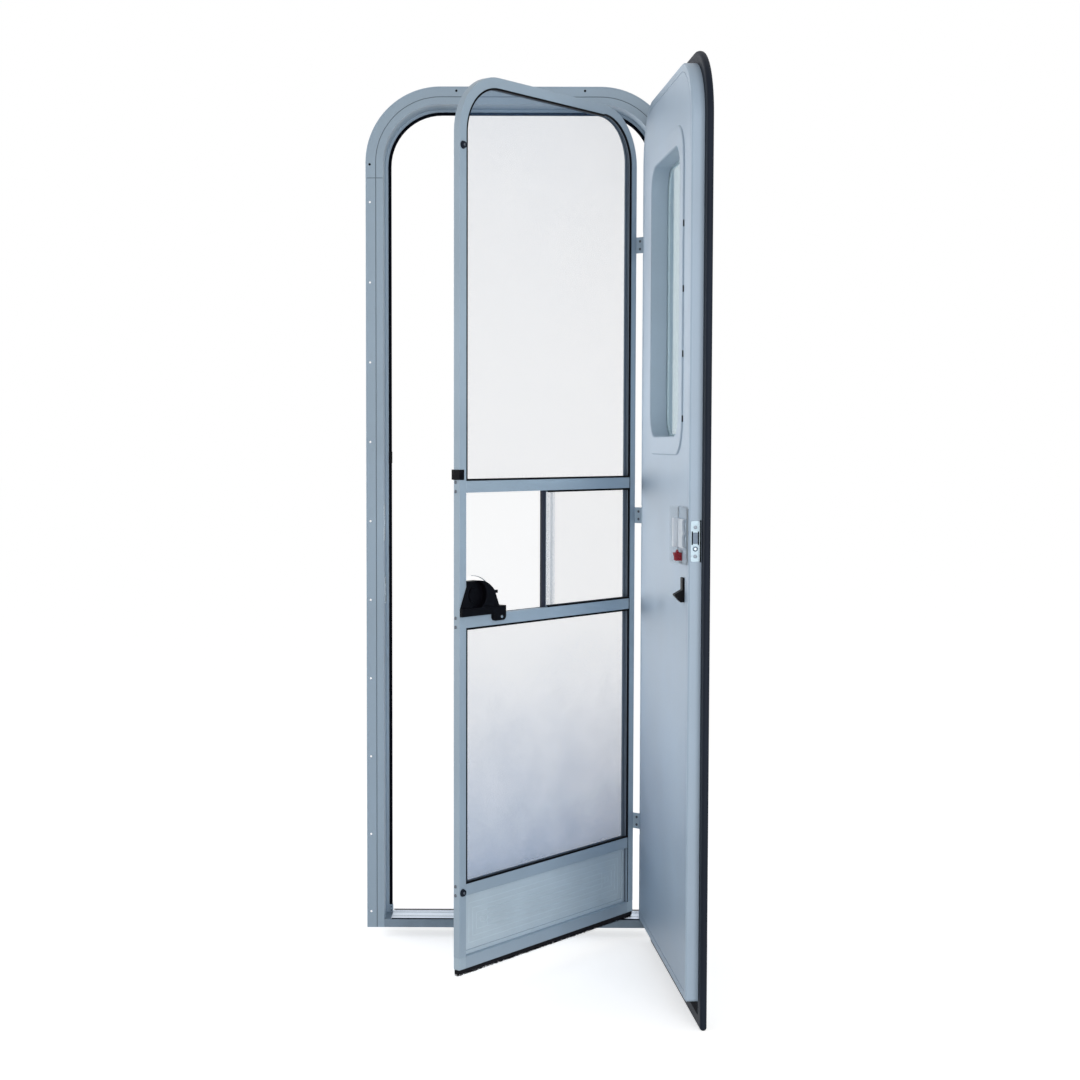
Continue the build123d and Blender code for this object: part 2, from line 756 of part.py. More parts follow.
# Mesh sheets, held in the channels
tuck = CHANNEL_DEPTH - FIT
mesh_back = channel_back
upper_head = UPPER_RAIL_FOOT + RAIL_HEIGHT
kick_head = KICK_RAIL_FOOT + RAIL_HEIGHT
inner_bend = screen_bend_radius - STILE_WIDTH
top_inner = screen_top - STILE_WIDTH
mesh_left = screen_inner_left - tuck
mesh_right = screen_inner_right + tuck
mesh_low = upper_head - tuck
mesh_high = top_inner + tuck
mesh_bend = inner_bend + tuck
bar_pitch = (mesh_right - mesh_left - 2 * MESH_BORDER + MESH_BAR) / MESH_BARS_ACROSS
row_pitch = (mesh_high - mesh_low - 2 * MESH_BORDER + MESH_BAR) / MESH_BARS_UP
with BuildPart() as upper_mesh:
    with BuildSketch(elevation(SCREEN_OPEN, mesh_back)):
        for i in range(1, MESH_BARS_ACROSS):
            bar_right = mesh_left + MESH_BORDER + bar_pitch * i
            rectangle(bar_right - MESH_BAR, bar_right, mesh_low, mesh_high)
        for i in range(1, MESH_BARS_UP):
            bar_head = mesh_low + MESH_BORDER + row_pitch * i
            rectangle(mesh_left, mesh_right, bar_head - MESH_BAR, bar_head)
        arched(mesh_left, mesh_right, mesh_low, mesh_high, mesh_bend, mode=Mode.INTERSECT)
    with BuildSketch(elevation(SCREEN_OPEN, mesh_back)):
        arched(mesh_left, mesh_right, mesh_low, mesh_high, mesh_bend)
        arched(
            mesh_left + MESH_BORDER,
            mesh_right - MESH_BORDER,
            mesh_low + MESH_BORDER,
            mesh_high - MESH_BORDER,
            mesh_bend - MESH_BORDER,
            mode=Mode.SUBTRACT,
        )
    extrude(amount=MESH_THICKNESS)
save(upper_mesh, "upper_mesh")

with BuildPart() as lower_mesh:
    with BuildSketch(elevation(SCREEN_OPEN, mesh_back)):
        rectangle(
            screen_inner_left - tuck,
            screen_inner_right + tuck,
            kick_head - tuck,
            LOWER_RAIL_FOOT + tuck,
        )
    extrude(amount=MESH_THICKNESS)
save(lower_mesh, "lower_mesh")

with BuildPart() as hatch_mesh:
    with BuildSketch(elevation(SCREEN_OPEN, mesh_back)):
        rectangle(
            post_right - tuck, screen_inner_right + tuck, hatch_foot - tuck, UPPER_RAIL_FOOT + tuck
        )
    extrude(amount=MESH_THICKNESS)
save(hatch_mesh, "hatch_mesh")

# Rubber splines that press the mesh into the channels
spline_depth = CHANNEL_WIDTH - MESH_THICKNESS
spline_back = channel_back - MESH_THICKNESS
with BuildPart() as splines:
    with BuildSketch(elevation(SCREEN_OPEN, spline_back)):
        arched(mesh_left, mesh_right, mesh_low, mesh_high, mesh_bend)
        arched(
            screen_inner_left + SPLINE_REACH,
            screen_inner_right - SPLINE_REACH,
            upper_head + SPLINE_REACH,
            top_inner - SPLINE_REACH,
            inner_bend - SPLINE_REACH,
            mode=Mode.SUBTRACT,
        )
    extrude(amount=spline_depth)
    for left, right, low, high in (
        (screen_inner_left, screen_inner_right, kick_head, LOWER_RAIL_FOOT),
        (post_right, screen_inner_right, hatch_foot, UPPER_RAIL_FOOT),
    ):
        with BuildSketch(elevation(SCREEN_OPEN, spline_back)):
            rectangle(left - tuck, right + tuck, low - tuck, high + tuck)
            rectangle(
                left + SPLINE_REACH,
                right - SPLINE_REACH,
                low + SPLINE_REACH,
                high - SPLINE_REACH,
                mode=Mode.SUBTRACT,
            )
        extrude(amount=spline_depth)
save(splines, "mesh_splines")

# Kick panel with a glazing bead round it
with BuildPart() as kick_panel:
    with BuildSketch(elevation(SCREEN_OPEN, channel_back)):
        rectangle(
            screen_inner_left - tuck, screen_inner_right + tuck, stile_foot - tuck, KICK_RAIL_FOOT + tuck
        )
    extrude(amount=PANEL_THICKNESS)
    with BuildSketch(elevation(SCREEN_OPEN, channel_back - PANEL_THICKNESS)):
        rectangle(screen_inner_left, screen_inner_right, stile_foot, KICK_RAIL_FOOT)
        rectangle(
            screen_inner_left + PANEL_BEAD_WIDTH,
            screen_inner_right - PANEL_BEAD_WIDTH,
            stile_foot + PANEL_BEAD_WIDTH,
            KICK_RAIL_FOOT - PANEL_BEAD_WIDTH,
            mode=Mode.SUBTRACT,
        )
    extrude(amount=PANEL_BEAD_PROUD)
save(kick_panel, "kick_panel")

# Post between the hatch and the fixed piece of mesh
with BuildPart() as post:
    with BuildSketch(plan(SCREEN_OPEN, hatch_foot)):
        rectangle(post_left, post_right, post_front, screen_back)
        rectangle(
            post_right - CHANNEL_DEPTH, post_right, channel_front, channel_back, mode=Mode.SUBTRACT
        )
    extrude(amount=UPPER_RAIL_FOOT - hatch_foot)
save(post, "hatch_post")

# Tracks of the hatch, on the inner faces of the rails
track_depth = HATCH_THICKNESS + 2 * HATCH_CLEARANCE + TRACK_WALL
track_back = screen_back + track_depth
panel_front = screen_back + HATCH_CLEARANCE
panel_back = panel_front + HATCH_THICKNESS
track_seat = HATCH_CLEARANCE + TRACK_WALL
with BuildPart() as tracks:
    for rail_edge, inward in ((hatch_foot, -1), (UPPER_RAIL_FOOT, 1)):
        root = rail_edge + inward * (TRACK_LIP + track_seat)
        with BuildSketch(side(SCREEN_OPEN, screen_inner_left)):
            outline(
                (
                    (screen_back, root),
                    (track_back, root),
                    (track_back, rail_edge),
                    (track_back - TRACK_WALL, rail_edge),
                    (track_back - TRACK_WALL, root - inward * TRACK_WALL),
                    (screen_back, root - inward * TRACK_WALL),
                )
            )
        extrude(amount=screen_inner_right - screen_inner_left)
save(tracks, "hatch_tracks")

# Clear hatch panel, notched round the lock
panel_left = screen_inner_left
panel_right = post_right + HATCH_OVERLAP
panel_low = hatch_foot - TRACK_LIP
panel_high = UPPER_RAIL_FOOT + TRACK_LIP
lock_top = hatch_foot + LOCK_HEIGHT
shoulder = (screen_inner_left + LOCK_SHOULDER, lock_top)
cheek = (screen_inner_left + LOCK_CHEEK, hatch_foot + LOCK_CHEEK_HEIGHT)
dome_run = LOCK_CHEEK - LOCK_SHOULDER
dome_drop = LOCK_HEIGHT - LOCK_CHEEK_HEIGHT
dome_radius = (dome_run**2 + dome_drop**2) / (2 * dome_drop)
with BuildPart() as hatch_panel:
    with BuildSketch(elevation(SCREEN_OPEN, panel_back)):
        rectangle(panel_left, panel_right, panel_low, panel_high)
        rectangle(panel_left, shoulder[0], panel_low, lock_top + NOTCH_MARGIN, mode=Mode.SUBTRACT)
        with Locations((shoulder[0], lock_top - dome_radius)):
            Circle(dome_radius + NOTCH_MARGIN, mode=Mode.SUBTRACT)
    extrude(amount=HATCH_THICKNESS)
save(hatch_panel, "hatch_panel")

# Stiff strip on the free edge of the hatch panel, with a lip to pull it by
with BuildPart() as hatch_pull:
    with BuildSketch(plan(SCREEN_OPEN, hatch_foot + STRIP_MARGIN)):
        outline(
            (
                (post_right, panel_back),
                (panel_right, panel_back),
                (panel_right, panel_back + PULL_PROUD),
                (panel_right - PULL_WIDTH, panel_back + PULL_PROUD),
                (panel_right - PULL_WIDTH, panel_back + STRIP_THICKNESS),
                (post_right, panel_back + STRIP_THICKNESS),
            )
        )
    extrude(amount=UPPER_RAIL_FOOT - hatch_foot - 2 * STRIP_MARGIN)
save(hatch_pull, "hatch_pull")

# Lock of the fly-screen: a domed case on a ledge, with a round recess for the main door's hook
lock_right = screen_inner_left + LOCK_WIDTH
ledge_top = hatch_foot + LEDGE_HEIGHT
skirt = (screen_inner_left + LOCK_SKIRT, ledge_top)
apron_left = screen_latch + APRON_MARGIN
lock_front = screen_front - LOCK_PROUD
recess_x = hook_left + HOOK_WIDTH / 2
recess_z = hatch_foot + RECESS_RISE
with BuildPart() as screen_lock:
    with BuildSketch(elevation(SCREEN_OPEN, screen_back)):
        with BuildLine():
            Line((screen_inner_left, lock_top), shoulder)
            TangentArc(shoulder, cheek, tangent=(1, 0))
            Line(cheek, skirt)
            Line(skirt, (lock_right, ledge_top))
            Line((lock_right, ledge_top), (lock_right, hatch_foot))
            Line((lock_right, hatch_foot), (screen_inner_left, hatch_foot))
            Line((screen_inner_left, hatch_foot), (screen_inner_left, lock_top))
        make_face()
    extrude(amount=SCREEN_THICKNESS)
    with BuildSketch(elevation(SCREEN_OPEN, screen_front)):
        with BuildLine():
            Line((screen_inner_left, lock_top), shoulder)
            TangentArc(shoulder, cheek, tangent=(1, 0))
            Line(cheek, skirt)
            Line(skirt, (apron_left, ledge_top))
            Line((apron_left, ledge_top), (screen_inner_left, hatch_foot + APRON_HEIGHT))
            Line((screen_inner_left, hatch_foot + APRON_HEIGHT), (screen_inner_left, lock_top))
        make_face()
        rectangle(cheek[0], cheek[0] + EAR_WIDTH, cheek[1] - EAR_HEIGHT, cheek[1])
    extrude(amount=LOCK_PROUD)
    with BuildSketch(elevation(SCREEN_OPEN, screen_front)):
        rectangle(apron_left, lock_right, hatch_foot, ledge_top)
        rectangle(lock_right - TAB_WIDTH, lock_right, hatch_foot - TAB_DROP, ledge_top, TAB_CORNER)
        rectangle(lock_right - TAB_CORNER, lock_right, hatch_foot, ledge_top)
    extrude(amount=LEDGE_PROUD)
    with BuildSketch(elevation(SCREEN_OPEN, lock_front + RECESS_DEPTH)):
        with Locations((recess_x, recess_z)):
            Circle(RECESS_DIAMETER / 2)
        rectangle(lock_right - LOCK_WIDTH, lock_right, hatch_foot, ledge_top, mode=Mode.SUBTRACT)
    extrude(amount=RECESS_DEPTH, mode=Mode.SUBTRACT)
    with BuildSketch(elevation(SCREEN_OPEN, lock_front + RECESS_DEPTH)):
        with Locations((recess_x, recess_z)):
            Circle(DIAL_DIAMETER / 2)
    extrude(amount=DIAL_PROUD)
save(screen_lock, "screen_lock")

# Catch that wraps the latch stile and reaches behind it
with BuildPart() as catch:
    with BuildSketch(plan(SCREEN_OPEN, catch_foot)):
        rectangle(
            screen_latch - CATCH_WRAP,
            screen_latch + CATCH_WIDTH,
            screen_front - CATCH_WRAP,
            screen_back + CATCH_WRAP,
        )
        rectangle(screen_latch + CATCH_INSET, screen_inner_left, screen_back, screen_back + CATCH_REACH)
        rectangle(screen_latch, screen_inner_left, screen_front, screen_back, mode=Mode.SUBTRACT)
    extrude(amount=CATCH_HEIGHT)
save(catch, "screen_catch")

# Rubber bumpers on the latch stile
with BuildPart() as bumpers:
    with BuildSketch(elevation(SCREEN_OPEN, screen_front)):
        with Locations(*[(screen_latch + STILE_WIDTH / 2, z) for z in bumper_heights]):
            Circle(BUMPER_DIAMETER / 2)
    extrude(amount=BUMPER_HEIGHT, taper=BUMPER_TAPER)
save(bumpers, "screen_bumpers")

# Brush under the bottom rail
with BuildPart() as brush:
    with BuildSketch(plan(SCREEN_OPEN, screen_foot)):
        rectangle(
            screen_latch,
            screen_hinge,
            screen_front + (SCREEN_THICKNESS - BRUSH_THICKNESS) / 2,
            screen_front + (SCREEN_THICKNESS + BRUSH_THICKNESS) / 2,
        )
    extrude(amount=-BRUSH_HEIGHT)
save(brush, "brush_seal")

# Main door: insulated body with the window opening, the bolt's pocket and room for the hinge arms
window_left = window_centre_x - opening_width / 2
window_right = window_centre_x + opening_width / 2
window_low = window_mid - opening_height / 2
window_high = window_mid + opening_height / 2
opening_corner = WINDOW_CORNER + SLEEVE_WALL
plate_front = plate_mid_y - PLATE_WIDTH / 2
plate_back = plate_mid_y + PLATE_WIDTH / 2
bolt_front = plate_mid_y - BOLT_THICKNESS / 2
bolt_back = plate_mid_y + BOLT_THICKNESS / 2
bolt_low = bolt_mid_z - BOLT_HEIGHT / 2
bolt_high = bolt_mid_z + BOLT_HEIGHT / 2
with BuildPart() as body:
    with BuildSketch(elevation(DOOR_OPEN, door_inner)):
        arched(door_latch, door_hinge, door_foot, door_top, door_bend_radius, DOOR_FOOT_RADIUS)
    extrude(amount=BODY_THICKNESS)
    inner_face = body.faces().sort_by(into_caravan(DOOR_OPEN))[-1]
    chamfer(inner_face.outer_wire().edges(), DOOR_EDGE)
    with BuildSketch(elevation(DOOR_OPEN, door_inner)):
        rectangle(window_left, window_right, window_low, window_high, opening_corner)
        for middle in hinge_heights:
            low = stack_levels(middle)[1]
            rectangle(
                door_hinge - ARM_POCKET, door_hinge, low - ARM_ROOM, low + SCREEN_KNUCKLE + ARM_ROOM
            )
    extrude(amount=BODY_THICKNESS, mode=Mode.SUBTRACT)
    with BuildSketch(elevation(DOOR_OPEN, door_inner)):
        for inset, mode in ((SEAM_INSET, Mode.ADD), (SEAM_INSET + SEAM_WIDTH, Mode.SUBTRACT)):
            arched(
                door_latch + inset,
                door_hinge - inset,
                door_foot + inset,
                door_top - inset,
                door_bend_radius - inset,
                mode=mode,
            )
    extrude(amount=SEAM_DEPTH, mode=Mode.SUBTRACT)
    with BuildSketch(side(DOOR_OPEN, door_latch)):
        rectangle(plate_front, plate_back, PLATE_FOOT, PLATE_FOOT + PLATE_HEIGHT)
    extrude(amount=PLATE_THICKNESS - PLATE_PROUD, mode=Mode.SUBTRACT)
    with BuildSketch(side(DOOR_OPEN, door_latch)):
        rectangle(bolt_front - FIT, bolt_back + FIT, bolt_low - FIT, bolt_high + FIT)
    extrude(amount=BOLT_LENGTH, mode=Mode.SUBTRACT)
save(body, "door_body")

# Outer skin and the black rim round it
rim_left = door_latch - RIM_OVERHANG
rim_right = door_hinge - RIM_HINGE_SETBACK
rim_low = door_foot - RIM_DROP
rim_high = door_top + RIM_OVERHANG
rim_bend = door_bend_radius + RIM_OVERHANG
with BuildPart() as rim:
    with BuildSketch(elevation(DOOR_OPEN, rim_back)):
        arched(rim_left, rim_right, rim_low, rim_high, rim_bend)
        arched(
            rim_left + RIM_WIDTH,
            rim_right - RIM_WIDTH,
            rim_low + RIM_WIDTH,
            rim_high - RIM_WIDTH,
            rim_bend - RIM_WIDTH,
            mode=Mode.SUBTRACT,
        )
    extrude(amount=RIM_THICKNESS)
    rim_faces = rim.faces().sort_by(into_caravan(DOOR_OPEN))
    chamfer(rim_faces[0].outer_wire().edges() + rim_faces[-1].outer_wire().edges(), RIM_EDGE)
save(rim, "door_rim")

with BuildPart() as skin:
    with BuildSketch(elevation(DOOR_OPEN, rim_back)):
        arched(
            rim_left + RIM_WIDTH,
            rim_right - RIM_WIDTH,
            rim_low + RIM_WIDTH,
            rim_high - RIM_WIDTH,
            rim_bend - RIM_WIDTH,
        )
        rectangle(
            window_left, window_right, window_low, window_high, opening_corner, mode=Mode.SUBTRACT
        )
    extrude(amount=RIM_THICKNESS)
save(skin, "door_skin")

# Window: moulded surround with a sleeve through the door, glass, and a trim outside
glass_front = door_outer + GLASS_SETBACK
glass_back = glass_front + GLASS_THICKNESS
with BuildPart() as surround:
    with BuildSketch(elevation(DOOR_OPEN, door_inner)):
        rectangle(window_left, window_right, window_low, window_high, opening_corner)
        rectangle(
            window_left + SLEEVE_WALL,
            window_right - SLEEVE_WALL,
            window_low + SLEEVE_WALL,
            window_high - SLEEVE_WALL,
            WINDOW_CORNER,
            mode=Mode.SUBTRACT,
        )
    extrude(amount=door_inner - glass_back)
    with BuildSketch(elevation(DOOR_OPEN, door_inner)):
        rectangle(
            window_left - SURROUND_LIP,
            window_right + SURROUND_LIP,
            window_low - SURROUND_LIP,
            window_high + SURROUND_LIP,
            opening_corner + SURROUND_LIP / 2,
        )
        rectangle(
            window_left + SLEEVE_WALL,
            window_right - SLEEVE_WALL,
            window_low + SLEEVE_WALL,
            window_high - SLEEVE_WALL,
            WINDOW_CORNER,
            mode=Mode.SUBTRACT,
        )
    extrude(amount=-SURROUND_PROUD)
    lip_face = surround.faces().sort_by(into_caravan(DOOR_OPEN))[-1]
    chamfer(lip_face.outer_wire().edges() + lip_face.inner_wires().edges(), SURROUND_EDGE)
save(surround, "window_surround")

with BuildPart() as glass:
    with BuildSketch(elevation(DOOR_OPEN, glass_back)):
        rectangle(
            window_left + FIT, window_right - FIT, window_low + FIT, window_high - FIT, opening_corner - FIT
        )
    extrude(amount=GLASS_THICKNESS)
save(glass, "window_glass")

with BuildPart() as window_frame:
    with BuildSketch(elevation(DOOR_OPEN, door_outer)):
        rectangle(
            window_left - WINDOW_TRIM,
            window_right + WINDOW_TRIM,
            window_low - WINDOW_TRIM,
            window_high + WINDOW_TRIM,
            opening_corner + WINDOW_TRIM,
        )
        rectangle(
            window_left + WINDOW_TRIM_COVER,
            window_right - WINDOW_TRIM_COVER,
            window_low + WINDOW_TRIM_COVER,
            window_high - WINDOW_TRIM_COVER,
            opening_corner - WINDOW_TRIM_COVER,
            mode=Mode.SUBTRACT,
        )
    extrude(amount=WINDOW_TRIM_PROUD)
    with BuildSketch(elevation(DOOR_OPEN, glass_front)):
        rectangle(
            window_left + FIT, window_right - FIT, window_low + FIT, window_high - FIT, opening_corner - FIT
        )
        rectangle(
            window_left + WINDOW_TRIM_COVER,
            window_right - WINDOW_TRIM_COVER,
            window_low + WINDOW_TRIM_COVER,
            window_high - WINDOW_TRIM_COVER,
            opening_corner - WINDOW_TRIM_COVER,
            mode=Mode.SUBTRACT,
        )
    extrude(amount=GLASS_SETBACK)
save(window_frame, "window_frame")

# Clear lock cover: a box with a flange towards the door's edge
box_left = cover_left + COVER_FLANGE
with BuildPart() as cover:
    with BuildSketch(elevation(DOOR_OPEN, door_inner)):
        rectangle(cover_left, cover_right, COVER_FOOT, COVER_FOOT + COVER_HEIGHT, COVER_CORNER)
    extrude(amount=-COVER_FLANGE_THICKNESS)
    with BuildSketch(elevation(DOOR_OPEN, door_inner)):
        rectangle(box_left, cover_right, COVER_FOOT, COVER_FOOT + COVER_HEIGHT, COVER_CORNER)
    extrude(amount=-COVER_PROUD)
    with BuildSketch(elevation(DOOR_OPEN, door_inner)):
        rectangle(
            box_left + COVER_WALL,
            cover_right - COVER_WALL,
            COVER_FOOT + COVER_WALL,
            COVER_FOOT + COVER_HEIGHT - COVER_WALL,
            COVER_CORNER - COVER_WALL,
        )
    extrude(amount=-COVER_PROUD + COVER_WALL, mode=Mode.SUBTRACT)
save(cover, "lock_cover")

# Lock case under the cover: a plate with two scoops, and an upright bar
case_left = box_left + CASE_MARGIN
case_right = cover_right - CASE_MARGIN
case_foot = COVER_FOOT + CASE_FOOT
case_head = case_foot + CASE_HEIGHT
with BuildPart() as case:
    with BuildSketch(elevation(DOOR_OPEN, door_inner)):
        rectangle(case_left, case_right, case_foot, case_head)
        with Locations(
            (case_left, case_foot + CASE_HEIGHT / 4), (case_left, case_head - CASE_HEIGHT / 4)
        ):
            Circle(CASE_SCOOP, mode=Mode.SUBTRACT)
    extrude(amount=-CASE_THICKNESS)
    with BuildSketch(elevation(DOOR_OPEN, door_inner)):
        rectangle(case_right - CASE_BAR, case_right, case_foot, case_head)
    extrude(amount=-CASE_BAR_PROUD)
save(case, "lock_case")

# Pointed knob of the lock, seen from the door's edge
knob_left = cover_left + KNOB_INSET
knob_foot = COVER_FOOT + KNOB_RISE
with BuildPart() as knob:
    with BuildSketch(side(DOOR_OPEN, knob_left)):
        outline(
            [
                (door_inner + KNOB_PROUD * u, knob_foot + KNOB_HEIGHT * v)
                for u, v in (
                    (0, 0),
                    (0.82, 0),
                    (0.86, 0.4),
                    (1, 0.72),
                    (0.66, 0.72),
                    (0.5, 1),
                    (0.34, 0.72),
                    (0, 0.72),
                )
            ]
        )
    extrude(amount=KNOB_THICKNESS)
save(knob, "lock_knob")

# Latch plate on the door's edge with its boss, and the bolt through it
with BuildPart() as plate:
    with BuildSketch(side(DOOR_OPEN, door_latch - PLATE_PROUD)):
        rectangle(
            plate_front + FIT,
            plate_back - FIT,
            PLATE_FOOT + FIT,
            PLATE_FOOT + PLATE_HEIGHT - FIT,
            PLATE_CORNER,
        )
        rectangle(
            bolt_front - FIT, bolt_back + FIT, bolt_low - FIT, bolt_high + FIT, mode=Mode.SUBTRACT
        )
    extrude(amount=PLATE_THICKNESS)
    with BuildSketch(side(DOOR_OPEN, door_latch - PLATE_PROUD)):
        with Locations((plate_mid_y, bolt_low - BOSS_DROP)):
            Circle(BOSS_DIAMETER / 2)
    extrude(amount=-BOSS_PROUD)
save(plate, "latch_plate")

with BuildPart() as bolt:
    with BuildSketch(side(DOOR_OPEN, door_latch - BOLT_PROUD)):
        rectangle(bolt_front, bolt_back, bolt_low, bolt_high)
    extrude(amount=BOLT_LENGTH + BOLT_PROUD)
save(bolt, "latch_bolt")

# Boot-shaped hook that enters the recess of the fly-screen's lock
hook_head = HOOK_FOOT + HOOK_HEIGHT
tip_low = HOOK_FOOT + HOOK_TIP_RISE
with BuildPart() as hook:
    with BuildSketch(side(DOOR_OPEN, hook_left)):
        outline(
            (
                (door_inner, HOOK_FOOT),
                (door_inner + HOOK_HEEL, HOOK_FOOT),
                (door_inner + HOOK_PROUD, tip_low),
                (door_inner + HOOK_PROUD, tip_low + HOOK_TIP),
                (door_inner + HOOK_STEM, hook_head - HOOK_STEM_LENGTH),
                (door_inner + HOOK_STEM, hook_head),
                (door_inner, hook_head),
            )
        )
    extrude(amount=HOOK_WIDTH)
save(hook, "door_hook")

# Outside handle
with BuildPart() as bezel:
    with BuildSketch(elevation(DOOR_OPEN, door_outer)):
        rectangle(
            cover_mid_x - BEZEL_WIDTH / 2,
            cover_mid_x + BEZEL_WIDTH / 2,
            cover_mid_z - BEZEL_HEIGHT / 2,
            cover_mid_z + BEZEL_HEIGHT / 2,
            BEZEL_CORNER,
        )
    extrude(amount=BEZEL_PROUD)
save(bezel, "handle_bezel")

with BuildPart() as paddle:
    with BuildSketch(elevation(DOOR_OPEN, door_outer - BEZEL_PROUD)):
        rectangle(
            cover_mid_x - BEZEL_WIDTH / 2 + PADDLE_MARGIN,
            cover_mid_x + BEZEL_WIDTH / 2 - PADDLE_MARGIN,
            cover_mid_z - BEZEL_HEIGHT / 2 + PADDLE_MARGIN,
            cover_mid_z + BEZEL_HEIGHT / 2 - PADDLE_MARGIN,
            PADDLE_CORNER,
        )
    extrude(amount=PADDLE_PROUD)
save(paddle, "handle_paddle")
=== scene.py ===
"""Looks of an arched caravan entry door: frame, insulated main door and fly-screen door.

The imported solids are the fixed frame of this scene. Each sub-assembly has a class that takes its places
from those solids, rounds and finishes them, and adds the small things that the solids leave out, such as
screws, mesh threads and bristles. Door pieces are measured on the shut door and swung to the modelled
pose with their leaf. Lengths are metres unless a name says mm.
"""
import json
import logging
import math
from dataclasses import dataclass
from enum import Enum
from typing import Iterable, Sequence

import bmesh
import bpy
from mathutils import Matrix, Vector


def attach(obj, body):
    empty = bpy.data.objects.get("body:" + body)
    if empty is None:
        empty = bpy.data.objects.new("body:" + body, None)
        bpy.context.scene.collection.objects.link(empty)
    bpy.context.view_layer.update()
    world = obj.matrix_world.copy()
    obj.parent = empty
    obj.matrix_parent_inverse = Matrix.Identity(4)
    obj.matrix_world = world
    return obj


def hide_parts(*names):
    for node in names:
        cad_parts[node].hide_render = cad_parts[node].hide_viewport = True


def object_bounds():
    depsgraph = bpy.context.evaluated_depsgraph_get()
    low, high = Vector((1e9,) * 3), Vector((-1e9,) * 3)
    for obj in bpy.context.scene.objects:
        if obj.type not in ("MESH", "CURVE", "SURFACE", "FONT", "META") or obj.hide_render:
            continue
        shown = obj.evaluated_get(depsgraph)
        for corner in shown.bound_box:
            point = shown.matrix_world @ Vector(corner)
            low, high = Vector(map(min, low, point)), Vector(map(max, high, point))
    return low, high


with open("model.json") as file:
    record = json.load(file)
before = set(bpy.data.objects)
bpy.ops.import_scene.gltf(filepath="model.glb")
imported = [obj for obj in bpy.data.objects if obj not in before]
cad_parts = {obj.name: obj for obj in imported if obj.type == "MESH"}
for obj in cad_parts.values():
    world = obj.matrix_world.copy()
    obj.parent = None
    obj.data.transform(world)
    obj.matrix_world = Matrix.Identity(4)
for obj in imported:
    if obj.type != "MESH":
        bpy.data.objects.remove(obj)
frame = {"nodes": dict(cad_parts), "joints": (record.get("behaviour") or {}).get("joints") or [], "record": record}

LOG = logging.getLogger("caravan_door")
CAD_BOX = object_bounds()
BODIES = frame["record"]["behaviour"]["bodies"]
MM = 0.001
NEAR = 0.01 * MM
SIDES = (-1, 1)
WHITE = (1.0, 1.0, 1.0, 1.0)
UP = Vector((0.0, 0.0, 1.0))
FRONT = Vector((0.0, -1.0, 0.0))
LATCH_SIDE = Vector((-1.0, 0.0, 0.0))
HINGE_SIDE = Vector((1.0, 0.0, 0.0))

Pair = tuple[float, float]
Point = tuple[float, float, float]
Colour = tuple[float, float, float]
Path = list[Pair]
Node = bpy.types.Node
Socket = bpy.types.NodeSocket


class Leaf(Enum):
    """The four bodies that a piece can ride on."""

    FRAME = "frame"
    SCREEN = "screen_door"
    HATCH = "hatch"
    MAIN = "main_door"


class Slot(Enum):
    """Material slots of the record."""

    FRAME = "frame"
    BRIGHT = "bright"
    STEEL = "steel"
    RUBBER = "rubber"
    BLACK = "black"
    GREY = "grey_plastic"
    MESH = "mesh"
    CLEAR = "clear"
    WINDOW = "window"
    INNER = "door_inner"
    OUTER = "door_outer"
    PALE = "pale"
    RED = "red"


@dataclass(frozen=True)
class Swing:
    """Hinge line and opening angles of the modelled pose, in radians."""

    pivot: Vector
    screen_open: float
    door_open: float

    @classmethod
    def from_record(cls) -> "Swing":
        """Read the hinge line and the angles from the joints of the record.

        Returns:
            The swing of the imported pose.
        """
        joints = {j["name"]: j for j in frame["joints"]}
        screen = joints["screen_swing"]
        screen_open = -screen["range_deg"][0]
        door_open = screen_open - joints["door_swing"]["range_deg"][0]
        return cls(Vector(screen["pos_m"]), math.radians(screen_open), math.radians(door_open))

    def matrix(self, leaf: Leaf) -> Matrix:
        """Matrix that takes a shut leaf to its place in the modelled pose.

        Args:
            leaf: Body that the point or mesh belongs to.

        Returns:
            A turn about the hinge line, or no change for the frame.
        """
        if leaf is Leaf.FRAME:
            return Matrix.Identity(4)
        angle = self.door_open if leaf is Leaf.MAIN else self.screen_open
        about = Matrix.Translation(self.pivot)
        return about @ Matrix.Rotation(angle, 4, "Z") @ about.inverted()


SWING = Swing.from_record()


def leaf_of(node: str) -> Leaf:
    """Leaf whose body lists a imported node."""
    return next(leaf for leaf in Leaf if node in BODIES[leaf.value])


def shut_points(node: str) -> list[Vector]:
    """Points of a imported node's mesh with its leaf shut."""
    back = SWING.matrix(leaf_of(node)).inverted()
    return [back @ v.co for v in frame["nodes"][node].data.vertices]


@dataclass(frozen=True)
class Extent:
    """Lowest and highest corner of a solid, measured on the shut door."""

    low: Vector
    high: Vector

    @classmethod
    def of(cls, node: str) -> "Extent":
        """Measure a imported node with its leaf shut.

        Args:
            node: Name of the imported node.

        Returns:
            The node's extent in the shut door's axes.
        """
        points = shut_points(node)
        low, high = (Vector(pick(p[i] for p in points) for i in range(3)) for pick in (min, max))
        return cls(low, high)

    @property
    def middle(self) -> Vector:
        """Centre of the extent."""
        return (self.low + self.high) / 2

    @property
    def size(self) -> Vector:
        """Side lengths of the extent."""
        return self.high - self.low


# Node trees


